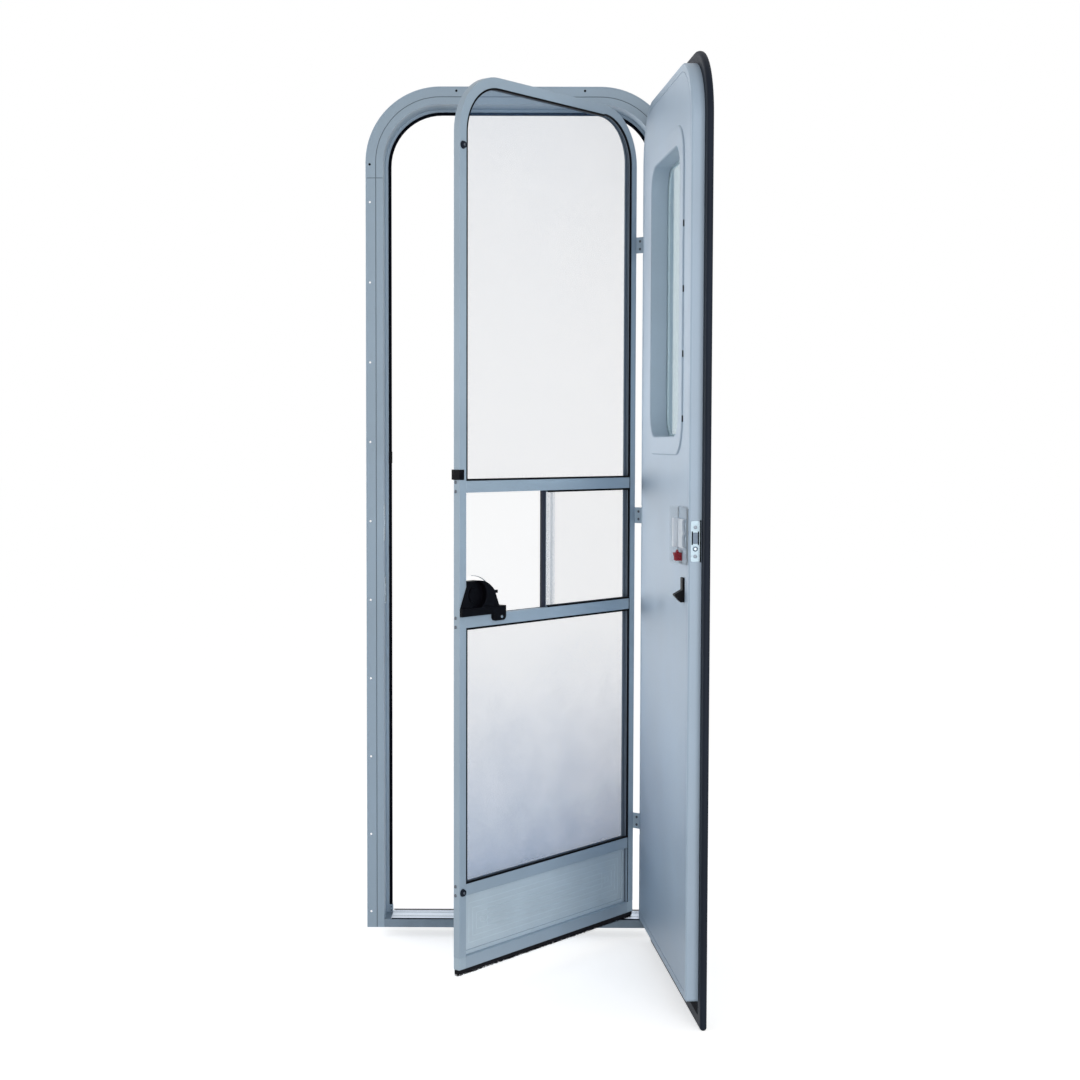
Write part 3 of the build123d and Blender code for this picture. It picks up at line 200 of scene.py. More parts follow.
class Graph:
    """Node tree with short calls for adding and joining nodes."""

    def __init__(self, tree: bpy.types.NodeTree) -> None:
        """Wrap a shader or geometry node tree."""
        self.tree = tree

    @staticmethod
    def cleared(owner: bpy.types.Material | bpy.types.World) -> "Graph":
        """Give a material or a world an empty node tree.

        Args:
            owner: Material or world.

        Returns:
            The graph of its tree.
        """
        owner.use_nodes = True
        owner.node_tree.nodes.clear()
        return Graph(owner.node_tree)

    def add(self, kind: str, **settings: object) -> Node:
        """Add a node and set its properties.

        Args:
            kind: Blender's type name of the node.
            settings: Properties of the node, by name.

        Returns:
            The new node.
        """
        node = self.tree.nodes.new(kind)
        for name, value in settings.items():
            setattr(node, name, value)
        return node

    def join(self, source: object, target: Socket) -> None:
        """Link an output to an input, or set a plain value on the input.

        Args:
            source: Output socket or plain value.
            target: Input socket.
        """
        if isinstance(source, Socket):
            self.tree.links.new(source, target)
        else:
            target.default_value = source

    def put(self, kind: str, inputs: dict[str | int, object], **settings: object) -> Socket:
        """Add a node and join its inputs.

        Args:
            kind: Blender's type name of the node.
            inputs: Socket or plain value of each input, by name or number.
            settings: Properties of the node, by name.

        Returns:
            The node's first output.
        """
        node = self.add(kind, **settings)
        for key, value in inputs.items():
            self.join(value, node.inputs[key])
        return node.outputs[0]

    def maths(self, operation: str, *values: object, clamp: bool = False) -> Socket:
        """Add a Math node for sockets or numbers, which can be held between 0 and 1."""
        return self.put("ShaderNodeMath", dict(enumerate(values)), operation=operation, use_clamp=clamp)

    def vector(self, x: object, y: object, z: object) -> Socket:
        """Make a vector of three sockets or numbers."""
        return self.put("ShaderNodeCombineXYZ", {"X": x, "Y": y, "Z": z})

    def split(self, place: Socket) -> tuple[Socket, ...]:
        """Give X, Y and Z of a vector socket.

        Args:
            place: Vector socket.

        Returns:
            The three outputs.
        """
        node = self.add("ShaderNodeSeparateXYZ")
        self.join(place, node.inputs[0])
        return tuple(node.outputs)

    def spread(self, value: object, low: object, high: object, new_low: float = 0.0, new_high: float = 1.0) -> Socket:
        """Map a range from low to high on to a new range, and hold it to its ends."""
        values = (value, low, high, new_low, new_high)
        return self.put("ShaderNodeMapRange", dict(enumerate(values)), clamp=True)

    def noise(self, place: object, scale: object, detail: float) -> Socket:
        """Add noise with a number of cells in a metre and of octaves."""
        return self.put("ShaderNodeTexNoise", {"Vector": place, "Scale": scale, "Detail": detail})

    def mix(self, factor: object, first: object, second: object) -> Socket:
        """Add a colour mix.

        Args:
            factor: Share of the second colour.
            first: Socket or colour.
            second: Socket or colour.

        Returns:
            The colour socket.
        """
        node = self.add("ShaderNodeMix", data_type="RGBA")
        for number, value in ((0, factor), (6, first), (7, second)):
            self.join((*value, 1.0) if isinstance(value, tuple) else value, node.inputs[number])
        return node.outputs[2]


class EffectKind(Enum):
    """Shader effects that several finishes share."""

    PEEL = "coat_peel"
    DRAWN = "drawn_lines"
    # Painted shade that thickens with height, for the films over the fly mesh.
    DUST = "settled_dust"


class Effects:
    """Shader node groups, each built once."""

    _made: dict[EffectKind, bpy.types.NodeTree] = {}

    @classmethod
    def get(cls, kind: EffectKind) -> bpy.types.NodeTree:
        """Group of an effect.

        Args:
            kind: Effect that a finish needs.

        Returns:
            The shader node group.
        """
        if kind not in cls._made:
            build = {EffectKind.PEEL: cls._peel, EffectKind.DRAWN: cls._drawn, EffectKind.DUST: cls._shade_fall}[kind]
            cls._made[kind] = bpy.data.node_groups.new(kind.value, "ShaderNodeTree")
            build(Graph(cls._made[kind]))
        return cls._made[kind]

    @staticmethod
    def _start(graph: Graph, inputs: dict[str, float], outputs: Sequence[str]) -> tuple[Node, Node]:
        """Give a group a place vector, number inputs and number outputs.

        Args:
            graph: Graph of the empty group.
            inputs: Default of each number input, by name.
            outputs: Names of the outputs.

        Returns:
            The group's input node and output node.
        """
        sockets = graph.tree.interface
        sockets.new_socket("Place", in_out="INPUT", socket_type="NodeSocketVector")
        for label, default in inputs.items():
            sockets.new_socket(label, in_out="INPUT", socket_type="NodeSocketFloat").default_value = default
        for label in outputs:
            sockets.new_socket(label, in_out="OUTPUT", socket_type="NodeSocketFloat")
        return graph.add("NodeGroupInput"), graph.add("NodeGroupOutput")

    @classmethod
    def _peel(cls, graph: Graph) -> None:
        """Fine orange peel of a sprayed or moulded surface, with slow changes of tone.

        Args:
            graph: Graph of the empty group.
        """
        given, made = cls._start(graph, {"Grain": 900.0, "Cloud": 5.0}, ("Height", "Tone"))
        fine = graph.noise(given.outputs["Place"], given.outputs["Grain"], 2.0)
        cloud = graph.noise(given.outputs["Place"], given.outputs["Cloud"], 4.0)
        speck = graph.spread(fine, 0.35, 0.65, -0.25, 0.25)
        graph.join(fine, made.inputs["Height"])
        graph.join(graph.maths("ADD", graph.spread(cloud, 0.3, 0.7), speck, clamp=True), made.inputs["Tone"])

    @classmethod
    def _drawn(cls, graph: Graph) -> None:
        """Fine lines along X, as drawing or brushing leaves them on metal.

        Args:
            graph: Graph of the empty group.
        """
        given, made = cls._start(graph, {"Across": 1600.0, "Along": 6.0}, ("Height", "Tone"))
        scales = [given.outputs[label] for label in ("Along", "Across", "Across")]
        parts = graph.split(given.outputs["Place"])
        place = graph.vector(*(graph.maths("MULTIPLY", part, scale) for part, scale in zip(parts, scales)))
        lines = graph.noise(place, 1.0, 3.0)
        graph.join(lines, made.inputs["Height"])
        graph.join(graph.spread(lines, 0.3, 0.7), made.inputs["Tone"])

    @classmethod
    def _shade_fall(cls, graph: Graph) -> None:
        """Painted shade that thickens from one height to another, with soft clouds in it.

        Args:
            graph: Graph of the empty group.
        """
        given, made = cls._start(graph, {"Foot": 0.0, "Head": 1.0, "Cloud": 9.0}, ("Cover",))
        height = graph.split(given.outputs["Place"])[2]
        fall = graph.spread(height, given.outputs["Head"], given.outputs["Foot"])
        cloud = graph.noise(given.outputs["Place"], given.outputs["Cloud"], 4.0)
        soft = graph.maths("MULTIPLY", graph.maths("SUBTRACT", cloud, 0.5), 0.25)
        graph.join(graph.maths("ADD", fall, soft, clamp=True), made.inputs["Cover"])


# Finishes

HAZE_SCALE = 14.0
HAZE_DETAIL = 4.0
HAZE_SPAN = (0.35, 0.7)


@dataclass(frozen=True)
class Finish:
    """A surface finish that makes its own material once."""

    name: str
    slot: Slot
    colour: Colour
    roughness: float = 0.5

    def material(self) -> bpy.types.Material:
        """Material of the finish, made at the first call.

        Returns:
            The Blender material.
        """
        made = bpy.data.materials.get(self.name)
        if made is None:
            made = bpy.data.materials.new(self.name)
            graph = Graph.cleared(made)
            shader = graph.add("ShaderNodeBsdfPrincipled")
            shader.inputs["Base Color"].default_value = (*self.colour, 1.0)
            shader.inputs["Roughness"].default_value = self.roughness
            self.paint(graph, shader, graph.add("ShaderNodeTexCoord").outputs["Object"])
            graph.join(shader.outputs[0], graph.add("ShaderNodeOutputMaterial").inputs[0])
        return made

    def paint(self, graph: Graph, shader: Node, place: Socket) -> None:
        """Join the finish's own nodes to the shader. The plain finish adds none.

        Args:
            graph: Graph of the material.
            shader: Principled shader.
            place: Object coordinates.
        """

    def effect(self, graph: Graph, kind: EffectKind, place: Socket, **values: float) -> Node:
        """Place a shared effect in the material.

        Args:
            graph: Graph of the material.
            kind: Effect to place.
            place: Object coordinates.
            values: Inputs of the group, by name.

        Returns:
            The group node.
        """
        node = graph.add("ShaderNodeGroup", node_tree=Effects.get(kind))
        for label, value in {"Place": place, **values}.items():
            graph.join(value, node.inputs[label])
        return node

    def tones(self, graph: Graph, shader: Node, tone: Socket, ends: Pair, change: float) -> None:
        """Let a tone change the colour and the roughness.

        Args:
            graph: Graph of the material.
            shader: Principled shader.
            tone: Socket between 0 and 1.
            ends: Shares of the colour at 0 and 1.
            change: Change of the roughness to both sides.
        """
        dark, light = (tuple(min(1.0, c * share) for c in self.colour) for share in ends)
        graph.join(graph.mix(tone, dark, light), shader.inputs["Base Color"])
        gloss = graph.spread(tone, 0.0, 1.0, self.roughness - change, self.roughness + change)
        graph.join(gloss, shader.inputs["Roughness"])

    def haze(self, graph: Graph, shader: Node, place: Socket, change: float) -> None:
        """Let soft clouds dull the gloss.

        Args:
            graph: Graph of the material.
            shader: Principled shader.
            place: Object coordinates.
            change: Roughness that the clouds add.
        """
        cloud = graph.noise(place, HAZE_SCALE, HAZE_DETAIL)
        gloss = graph.spread(cloud, *HAZE_SPAN, self.roughness, self.roughness + change)
        graph.join(gloss, shader.inputs["Roughness"])

    def bump(self, graph: Graph, shader: Node, height: Socket, strength: float, depth: float) -> None:
        """Feed a height of a depth in metres to the shader's normal, at a strength."""
        node = graph.put("ShaderNodeBump", {"Strength": strength, "Distance": depth, "Height": height})
        graph.join(node, shader.inputs["Normal"])


@dataclass(frozen=True)
class Coated(Finish):
    """Powder coat, paint or moulded plastic with a fine peel."""

    grain: float = 900.0
    peel: float = 0.12 * MM
    cloud: float = 5.0
    variation: float = 0.06
    specular: float = 0.5
    gloss_change: float = 0.05
    peel_share: float = 0.6

    def paint(self, graph: Graph, shader: Node, place: Socket) -> None:
        """Tone and roughness drift slowly, and the peel breaks up the highlights.

        Args:
            graph: Graph of the material.
            shader: Principled shader.
            place: Object coordinates.
        """
        effect = self.effect(graph, EffectKind.PEEL, place, Grain=self.grain, Cloud=self.cloud)
        ends = (1.0 - self.variation, 1.0 + self.variation)
        self.tones(graph, shader, effect.outputs["Tone"], ends, self.gloss_change)
        shader.inputs["Specular IOR Level"].default_value = self.specular
        self.bump(graph, shader, effect.outputs["Height"], self.peel_share, self.peel)


@dataclass(frozen=True)
class BareMetal(Finish):
    """Drawn or brushed metal."""

    across: float = 1600.0
    along: float = 6.0
    tone_ends: Pair = (0.86, 1.06)
    gloss_change: float = 0.07
    line_share: float = 0.25
    line_depth: float = 0.05 * MM

    def paint(self, graph: Graph, shader: Node, place: Socket) -> None:
        """Fine lines change the tone, the roughness and the height.

        Args:
            graph: Graph of the material.
            shader: Principled shader.
            place: Object coordinates.
        """
        effect = self.effect(graph, EffectKind.DRAWN, place, Across=self.across, Along=self.along)
        shader.inputs["Metallic"].default_value = 1.0
        self.tones(graph, shader, effect.outputs["Tone"], self.tone_ends, self.gloss_change)
        self.bump(graph, shader, effect.outputs["Height"], self.line_share, self.line_depth)


@dataclass(frozen=True)
class Clear(Finish):
    """Clear pane with a faint haze in it."""

    ior: float = 1.49
    gloss_change: float = 0.03

    def paint(self, graph: Graph, shader: Node, place: Socket) -> None:
        """A slight haze varies the gloss.

        Args:
            graph: Graph of the material.
            shader: Principled shader.
            place: Object coordinates.
        """
        self.haze(graph, shader, place, self.gloss_change)
        shader.inputs["Transmission Weight"].default_value = 1.0
        shader.inputs["IOR"].default_value = self.ior


@dataclass(frozen=True)
class Film(Finish):
    """Thin clear or frosted plastic that covers a fixed share of what is behind it."""

    cover: float = 0.1
    specular: float = 0.4
    gloss_change: float = 0.05

    def paint(self, graph: Graph, shader: Node, place: Socket) -> None:
        """A slight haze varies the gloss, and the cover is the same all over.

        Args:
            graph: Graph of the material.
            shader: Principled shader.
            place: Object coordinates.
        """
        self.haze(graph, shader, place, self.gloss_change)
        shader.inputs["Alpha"].default_value = self.cover
        shader.inputs["Specular IOR Level"].default_value = self.specular


@dataclass(frozen=True)
class ShadeFilm(Finish):
    """Painted shade: a film that hangs in a mesh and thickens from its head to its foot, or the other way."""

    foot: float = 0.2
    head: float = 0.7
    thin: float = 0.015
    thick: float = 0.48
    gather: float = 1.6

    def paint(self, graph: Graph, shader: Node, place: Socket) -> None:
        """The painted shade's cover is the film's opacity.

        Args:
            graph: Graph of the material.
            shader: Principled shader.
            place: Object coordinates.
        """
        effect = self.effect(graph, EffectKind.DUST, place, Foot=self.foot, Head=self.head)
        cover = graph.maths("POWER", effect.outputs["Cover"], self.gather)
        graph.join(graph.spread(cover, 0.0, 1.0, self.thin, self.thick), shader.inputs["Alpha"])


POWDER = Coated("powder_coat", Slot.FRAME, (0.365, 0.465, 0.56), 0.40)
# Darker copy of the powder coat for the sill: painted shade, with a stronger random tone.
SHADED_SILL = Coated("worn_sill_coat", Slot.FRAME, (0.23, 0.30, 0.37), 0.45, cloud=18.0, variation=0.12)
PANEL = Coated("kick_panel_coat", Slot.FRAME, (0.58, 0.69, 0.77), 0.36, cloud=9.0)
# Lighter copy of the kick panel's coat: painted highlight on the pressed ridges.
RIDGE_HIGHLIGHT = Coated("kick_panel_ridge", Slot.FRAME, (0.64, 0.76, 0.84), 0.36, cloud=9.0)
ARM = Coated("arm_coat", Slot.FRAME, (0.52, 0.64, 0.74), 0.40)
MOULDED = Coated("moulded_grey", Slot.GREY, (0.34, 0.43, 0.51), 0.5, grain=600.0)
INNER = Coated("inner_face", Slot.INNER, (0.385, 0.49, 0.605), 0.45, grain=1400.0, peel=0.10 * MM)
CORNER = Coated("corner_block", Slot.GREY, (0.43, 0.54, 0.63), 0.45, grain=600.0)
# Grey of the channel lining, also used as the painted shadow line beside the kick panel.
LINING_AND_SHADOW_LINE = Coated("channel_lining", Slot.FRAME, (0.25, 0.31, 0.38), 0.45)
SPLINE = Coated("mesh_spline", Slot.RUBBER, (0.13, 0.165, 0.21), 0.5, grain=1800.0, specular=0.15)
SEAL = Coated("seal_rubber", Slot.RUBBER, (0.004, 0.005, 0.009), 0.6, grain=1800.0, variation=0.2, specular=0.01)
GROOVE = Coated("groove_shade", Slot.FRAME, (0.13, 0.17, 0.21), 0.5)
TRIM = Coated("window_trim", Slot.GREY, (0.60, 0.71, 0.77), 0.45, grain=600.0)
EDGE = Coated("clear_edge", Slot.CLEAR, (0.38, 0.43, 0.47), 0.4, grain=1500.0, specular=0.2)
OUTER = Coated("outer_skin", Slot.OUTER, (0.42, 0.50, 0.58), 0.32, grain=500.0, peel=0.06 * MM)
RUBBER = Coated(
    "black_rubber", Slot.RUBBER, (0.010, 0.015, 0.026), 0.55, grain=1800.0, variation=0.25, specular=0.12
)
BLACK = Coated(
    "black_plastic", Slot.BLACK, (0.003, 0.003, 0.005), 0.45,
    grain=2200.0, peel=0.06 * MM, variation=0.2, specular=0.07,
)
POST = Coated(
    "post_plastic", Slot.BLACK, (0.028, 0.032, 0.050), 0.5,
    grain=2200.0, peel=0.06 * MM, variation=0.2, specular=0.2,
)
BRISTLE = Coated("brush_bristle", Slot.RUBBER, (0.005, 0.005, 0.008), 0.6, grain=2500.0, variation=0.3, specular=0.1)
THREAD = Coated("mesh_thread", Slot.MESH, (0.065, 0.126, 0.235), 0.6, grain=3000.0, specular=0.3)
BRIGHT = BareMetal("bright_anodised", Slot.BRIGHT, (0.70, 0.77, 0.86), 0.32)
STEEL = BareMetal("plated_steel", Slot.STEEL, (0.46, 0.54, 0.60), 0.3, across=900.0, along=40.0)
# Darker copy of the plated steel: painted shade that dims the latch plate's reflection of the fill lamp.
PLATE_SHADED = BareMetal("latch_plate_steel", Slot.STEEL, (0.25, 0.31, 0.35), 0.42, across=900.0, along=40.0)
# Darker copy of the steel for the latch bolt and the stud's collar: painted shade that dims their reflection of the
# fill lamp and darkens the bolt in its slot.
BOLT_SHADED = BareMetal("latch_bolt_steel", Slot.STEEL, (0.10, 0.125, 0.16), 0.45, across=900.0, along=40.0)
DARK_STEEL = BareMetal("screw_steel", Slot.STEEL, (0.16, 0.18, 0.21), 0.4, across=700.0, along=300.0)
ACRYLIC = Film("clear_acrylic", Slot.CLEAR, (0.55, 0.62, 0.70), 0.05, cover=0.05, specular=0.15)
COVER = Film("clear_cover", Slot.CLEAR, (0.18, 0.22, 0.23), 0.08, cover=0.055, specular=0.01)
BAND = Film("frosted_band", Slot.CLEAR, (0.34, 0.46, 0.60), 0.4, cover=0.14, specular=0.10)
GLASS = Clear("window_pane", Slot.WINDOW, (0.88, 0.99, 1.0), 0.01, ior=1.3)
PALE = Coated("pale_plastic", Slot.PALE, (0.72, 0.79, 0.87), 0.45, grain=1500.0)
RED = Coated("red_plastic", Slot.RED, (0.29, 0.001, 0.012), 0.5, grain=2000.0, specular=0.02)


# Mesh helpers

MERGE = 0.002 * MM
FLAT_DEG = 0.5
HARD_DEG = 35.0
AREA_WEIGHT = 80
BAR_SEGMENTS = 3


def link_object(name: str, data: bpy.types.ID) -> bpy.types.Object:
    """Make an object of a mesh, light or camera and link it to the scene.

    Args:
        name: Name of the object.
        data: What it shows.

    Returns:
        The object.
    """
    made = bpy.data.objects.new(name, data)
    bpy.context.scene.collection.objects.link(made)
    return made


def plain_mesh(source: bpy.types.Object) -> bpy.types.Mesh:
    """New mesh of an object with its modifiers applied."""
    graph = bpy.context.evaluated_depsgraph_get()
    return bpy.data.meshes.new_from_object(source.evaluated_get(graph), depsgraph=graph)


def used_up(holder: bpy.types.Object) -> bpy.types.Mesh:
    """Apply an object's modifiers and take the object away.

    Args:
        holder: Object that is not needed afterwards.

    Returns:
        The plain mesh that it shows.
    """
    base, result = holder.data, plain_mesh(holder)
    bpy.data.objects.remove(holder)
    bpy.data.meshes.remove(base)
    return result


def new_piece(
    name: str, mesh: bpy.types.Mesh, leaf: Leaf, finish: Finish, stands_for: Iterable[str] = ()
) -> None:
    """Make a finished piece from a mesh that is already in its place.

    Args:
        name: Name of the piece.
        mesh: Mesh in the modelled pose.
        leaf: Body that the piece rides on.
        finish: Finish of the piece.
        stands_for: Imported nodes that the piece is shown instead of.
    """
    mesh.name = name
    piece = link_object(name, mesh)
    mesh.materials.clear()
    mesh.materials.append(finish.material())
    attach(piece, leaf.value)
    for node in stands_for:
        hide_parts(node)
    LOG.info("piece %s on %s", name, leaf.value)


def rounded_copy(node: str, edge: float, segments: int) -> bpy.types.Mesh:
    """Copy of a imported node's mesh with its hard edges rounded.

    Args:
        node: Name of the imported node.
        edge: Width of the rounding.
        segments: Facets across the rounding.

    Returns:
        A merged and rounded mesh whose flat faces are shaded flat.
    """
    mesh = frame["nodes"][node].data.copy()
    shape = bmesh.new()
    shape.from_mesh(mesh)
    bmesh.ops.remove_doubles(shape, verts=shape.verts, dist=MERGE)
    limit = math.radians(FLAT_DEG)
    bmesh.ops.dissolve_limit(
        shape, angle_limit=limit, use_dissolve_boundaries=False, verts=shape.verts, edges=shape.edges
    )
    wide = [face for face in shape.faces if len(face.verts) > 4]
    bmesh.ops.triangulate(shape, faces=wide, quad_method="BEAUTY", ngon_method="BEAUTY")
    shape.to_mesh(mesh)
    shape.free()
    mesh.shade_smooth()
    holder = link_object(node + "_holder", mesh)
    bevel = holder.modifiers.new("edge", "BEVEL")
    bevel.width = edge
    bevel.segments = segments
    bevel.limit_method = "ANGLE"
    bevel.angle_limit = math.radians(HARD_DEG)
    bevel.loop_slide = False
    flat = holder.modifiers.new("flat_faces", "WEIGHTED_NORMAL")
    flat.mode = "FACE_AREA"
    flat.weight = AREA_WEIGHT
    return used_up(holder)


def dress(node: str, finish: Finish, edge: float, segments: int = 2) -> None:
    """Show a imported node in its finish, with edges of a width and number of facets rounded."""
    new_piece(node + "_finished", rounded_copy(node, edge, segments), leaf_of(node), finish, [node])


class TreeInput(Enum):
    """Kinds of input that a geometry node tree has here."""

    LENGTH = "NodeSocketFloat"
    COUNT = "NodeSocketInt"
    OBJECT = "NodeSocketObject"
    VECTOR = "NodeSocketVector"
    MATERIAL = "NodeSocketMaterial"


class Pattern(Graph):
    """Geometry node tree that makes one repeating piece."""

    def __init__(self, name: str) -> None:
        """Make an empty tree with a geometry input and output.

        Args:
            name: Name of the tree.
        """
        super().__init__(bpy.data.node_groups.new(name, "GeometryNodeTree"))
        for way in ("INPUT", "OUTPUT"):
            self.tree.interface.new_socket("Geometry", in_out=way, socket_type="NodeSocketGeometry")
        self.identifiers: dict[str, str] = {}
        self.given = self.add("NodeGroupInput")
        self.made = self.add("NodeGroupOutput")

    def ask(self, label: str, kind: TreeInput) -> Socket:
        """Add a named input.

        Args:
            label: Name of the input.
            kind: What it holds.

        Returns:
            Its socket inside the tree.
        """
        socket = self.tree.interface.new_socket(label, in_out="INPUT", socket_type=kind.value)
        self.identifiers[label] = socket.identifier
        return self.given.outputs[label]

    def lengths(self, *labels: str) -> tuple[Socket, ...]:
        """Add named inputs for lengths."""
        return tuple(self.ask(label, TreeInput.LENGTH) for label in labels)

    def end(self, geometry: Socket) -> None:
        """Realize the instances, set the material and end the tree.

        Args:
            geometry: What the tree made.
        """
        real = self.put("GeometryNodeRealizeInstances", {0: geometry})
        material = self.ask("Material", TreeInput.MATERIAL)
        done = self.put("GeometryNodeSetMaterial", {"Geometry": real, "Material": material})
        self.join(done, self.made.inputs[0])

    def run(self, base: bpy.types.Mesh, finish: Finish, **values: object) -> bpy.types.Mesh:
        """Evaluate the tree on a base mesh.

        Args:
            base: Mesh that the tree starts from, which is taken away afterwards.
            finish: Finish of the piece.
            values: Value of each other input, by name.

        Returns:
            The plain mesh that it makes.
        """
        holder = link_object(self.tree.name, base)
        modifier = holder.modifiers.new("pattern", "NODES")
        modifier.node_group = self.tree
        for label, value in {**values, "Material": finish.material()}.items():
            modifier[self.identifiers[label]] = value
        return used_up(holder)


def swung_piece(name: str, mesh: bpy.types.Mesh, leaf: Leaf, place: Matrix, finish: Finish) -> None:
    """Make a piece with hard edges from a mesh, put in place on the shut door and swung with its leaf.

    Args:
        name: Name of the piece.
        mesh: Mesh in its own axes.
        leaf: Body that the piece rides on.
        place: Matrix that puts the mesh on the shut door.
        finish: Finish of the piece.
    """
    mesh.transform(SWING.matrix(leaf) @ place)
    mesh.shade_smooth()
    mesh.set_sharp_from_angle(angle=math.radians(HARD_DEG))
    new_piece(name, mesh, leaf, finish)


def point_mesh(points: Sequence[Vector]) -> bpy.types.Mesh:
    """Mesh that holds only points.

    Args:
        points: Places of the points.

    Returns:
        The mesh.
    """
    mesh = bpy.data.meshes.new("points")
    mesh.from_pydata([tuple(p) for p in points], [], [])
    return mesh


def loose_object(name: str, shape: bmesh.types.BMesh) -> bpy.types.Object:
    """Turn a shape into an object of its own.

    Args:
        name: Name of the object.
        shape: Shape to take over, which is freed.

    Returns:
        The object, linked to the scene.
    """
    mesh = bpy.data.meshes.new(name)
    shape.to_mesh(mesh)
    shape.free()
    return link_object(name, mesh)


def rounded_bar(size: Point, rounding: float) -> bpy.types.Object:
    """Bar with rounded edges round its middle.

    Args:
        size: Sizes along X, Y and Z.
        rounding: Radius of its edges.

    Returns:
        The bar as an object of its own.
    """
    shape = bmesh.new()
    made = bmesh.ops.create_cube(shape, size=1.0)
    bmesh.ops.scale(shape, vec=size, verts=made["verts"])
    bmesh.ops.bevel(
        shape, geom=shape.edges[:], offset=rounding, segments=BAR_SEGMENTS, affect="EDGES", profile=0.5
    )
    return loose_object("rounded_bar", shape)


class Repeats:
    """One shape set on many points of a leaf."""

    def __init__(self) -> None:
        """Build the tree that sets a shape on each point."""
        p = self.pattern = Pattern("repeats")
        shape, turn = p.ask("Shape", TreeInput.OBJECT), p.ask("Turn", TreeInput.VECTOR)
        info = p.add("GeometryNodeObjectInfo")
        p.join(shape, info.inputs["Object"])
        inputs = {"Points": p.given.outputs[0], "Instance": info.outputs["Geometry"], "Rotation": turn}
        p.end(p.put("GeometryNodeInstanceOnPoints", inputs))

    def lay(
        self, name: str, leaf: Leaf, points: Sequence[Vector], facing: Vector, shape: bpy.types.Object,
        finish: Finish,
    ) -> None:
        """Set a shape on points of the shut door.

        Args:
            name: Name of the piece.
            leaf: Body that carries the shapes.
            points: Places, shut.
            facing: Direction of the shape's Z, shut.
            shape: Shape to repeat, which is taken away afterwards.
            finish: Finish of the shapes.
        """
        turn = tuple(facing.to_track_quat("Z", "Y").to_euler())
        mesh = self.pattern.run(point_mesh(points), finish, Shape=shape, Turn=turn)
        bpy.data.objects.remove(shape)
        swung_piece(name, mesh, leaf, Matrix.Identity(4), finish)


REPEATS = Repeats()


class Screws:
    """Screw heads that repeat on a face, with a cross recess."""

    FACETS = 20
    PROFILE = ((1.0, 0.0), (1.0, 0.35), (0.86, 0.8), (0.55, 1.0), (0.0, 1.0))
    RECESS_ARM = 1.1
    RECESS_SLOT = 0.24

    def _head(self, radius: float, height: float) -> bpy.types.Object:
        """Pan head that faces +Z, with a cross recess in its top.

        Args:
            radius: Radius of the head.
            height: Height of the head.

        Returns:
            The head as an object of its own.
        """
        shape = bmesh.new()
        rings = []
        for across, up in self.PROFILE:
            r, z = radius * across, height * up
            angles = [math.tau * i / self.FACETS for i in range(self.FACETS if r else 1)]
            rings.append([shape.verts.new((r * math.cos(a), r * math.sin(a), z)) for a in angles])
        for low, high in zip(rings, rings[1:]):
            for i in range(self.FACETS):
                j = (i + 1) % self.FACETS
                corners = [low[i], low[j], high[j % len(high)], high[i % len(high)]]
                shape.faces.new(list(dict.fromkeys(corners)))
        shape.faces.new(list(reversed(rings[0])))
        bmesh.ops.recalc_face_normals(shape, faces=shape.faces)
        head = loose_object("screw_head", shape)
        self._recess(head, radius, height)
        return head

    def _recess(self, head: bpy.types.Object, radius: float, height: float) -> None:
        """Cut the cross recess into a head, to half of its height.

        Args:
            head: Head to cut.
            radius: Radius of the head.
            height: Height of the head.
        """
        shape = bmesh.new()
        arm, slot = radius * self.RECESS_ARM, radius * self.RECESS_SLOT
        for size in ((arm, slot, height), (slot, arm, height)):
            made = bmesh.ops.create_cube(shape, size=1.0)
            bmesh.ops.scale(shape, vec=size, verts=made["verts"])
            bmesh.ops.translate(shape, vec=(0, 0, height), verts=made["verts"])
        tool = loose_object("recess", shape)
        cut = head.modifiers.new("recess", "BOOLEAN")
        cut.operation = "DIFFERENCE"
        cut.solver = "EXACT"
        cut.use_self = True
        cut.object = tool
        result = plain_mesh(head)
        head.modifiers.clear()
        head.data = result
        bpy.data.objects.remove(tool)

    def drive(
        self, name: str, leaf: Leaf, points: Sequence[Vector], facing: Vector, size: Pair, finish: Finish
    ) -> None:
        """Set heads on points of the shut door.

        Args:
            name: Name of the piece.
            leaf: Body that carries the screws.
            points: Places on the face, shut.
            facing: Direction that the heads face, shut.
            size: Diameter and height of a head.
            finish: Finish of the heads.
        """
        diameter, height = size
        REPEATS.lay(name, leaf, points, facing, self._head(diameter / 2, height), finish)


SCREWS = Screws()


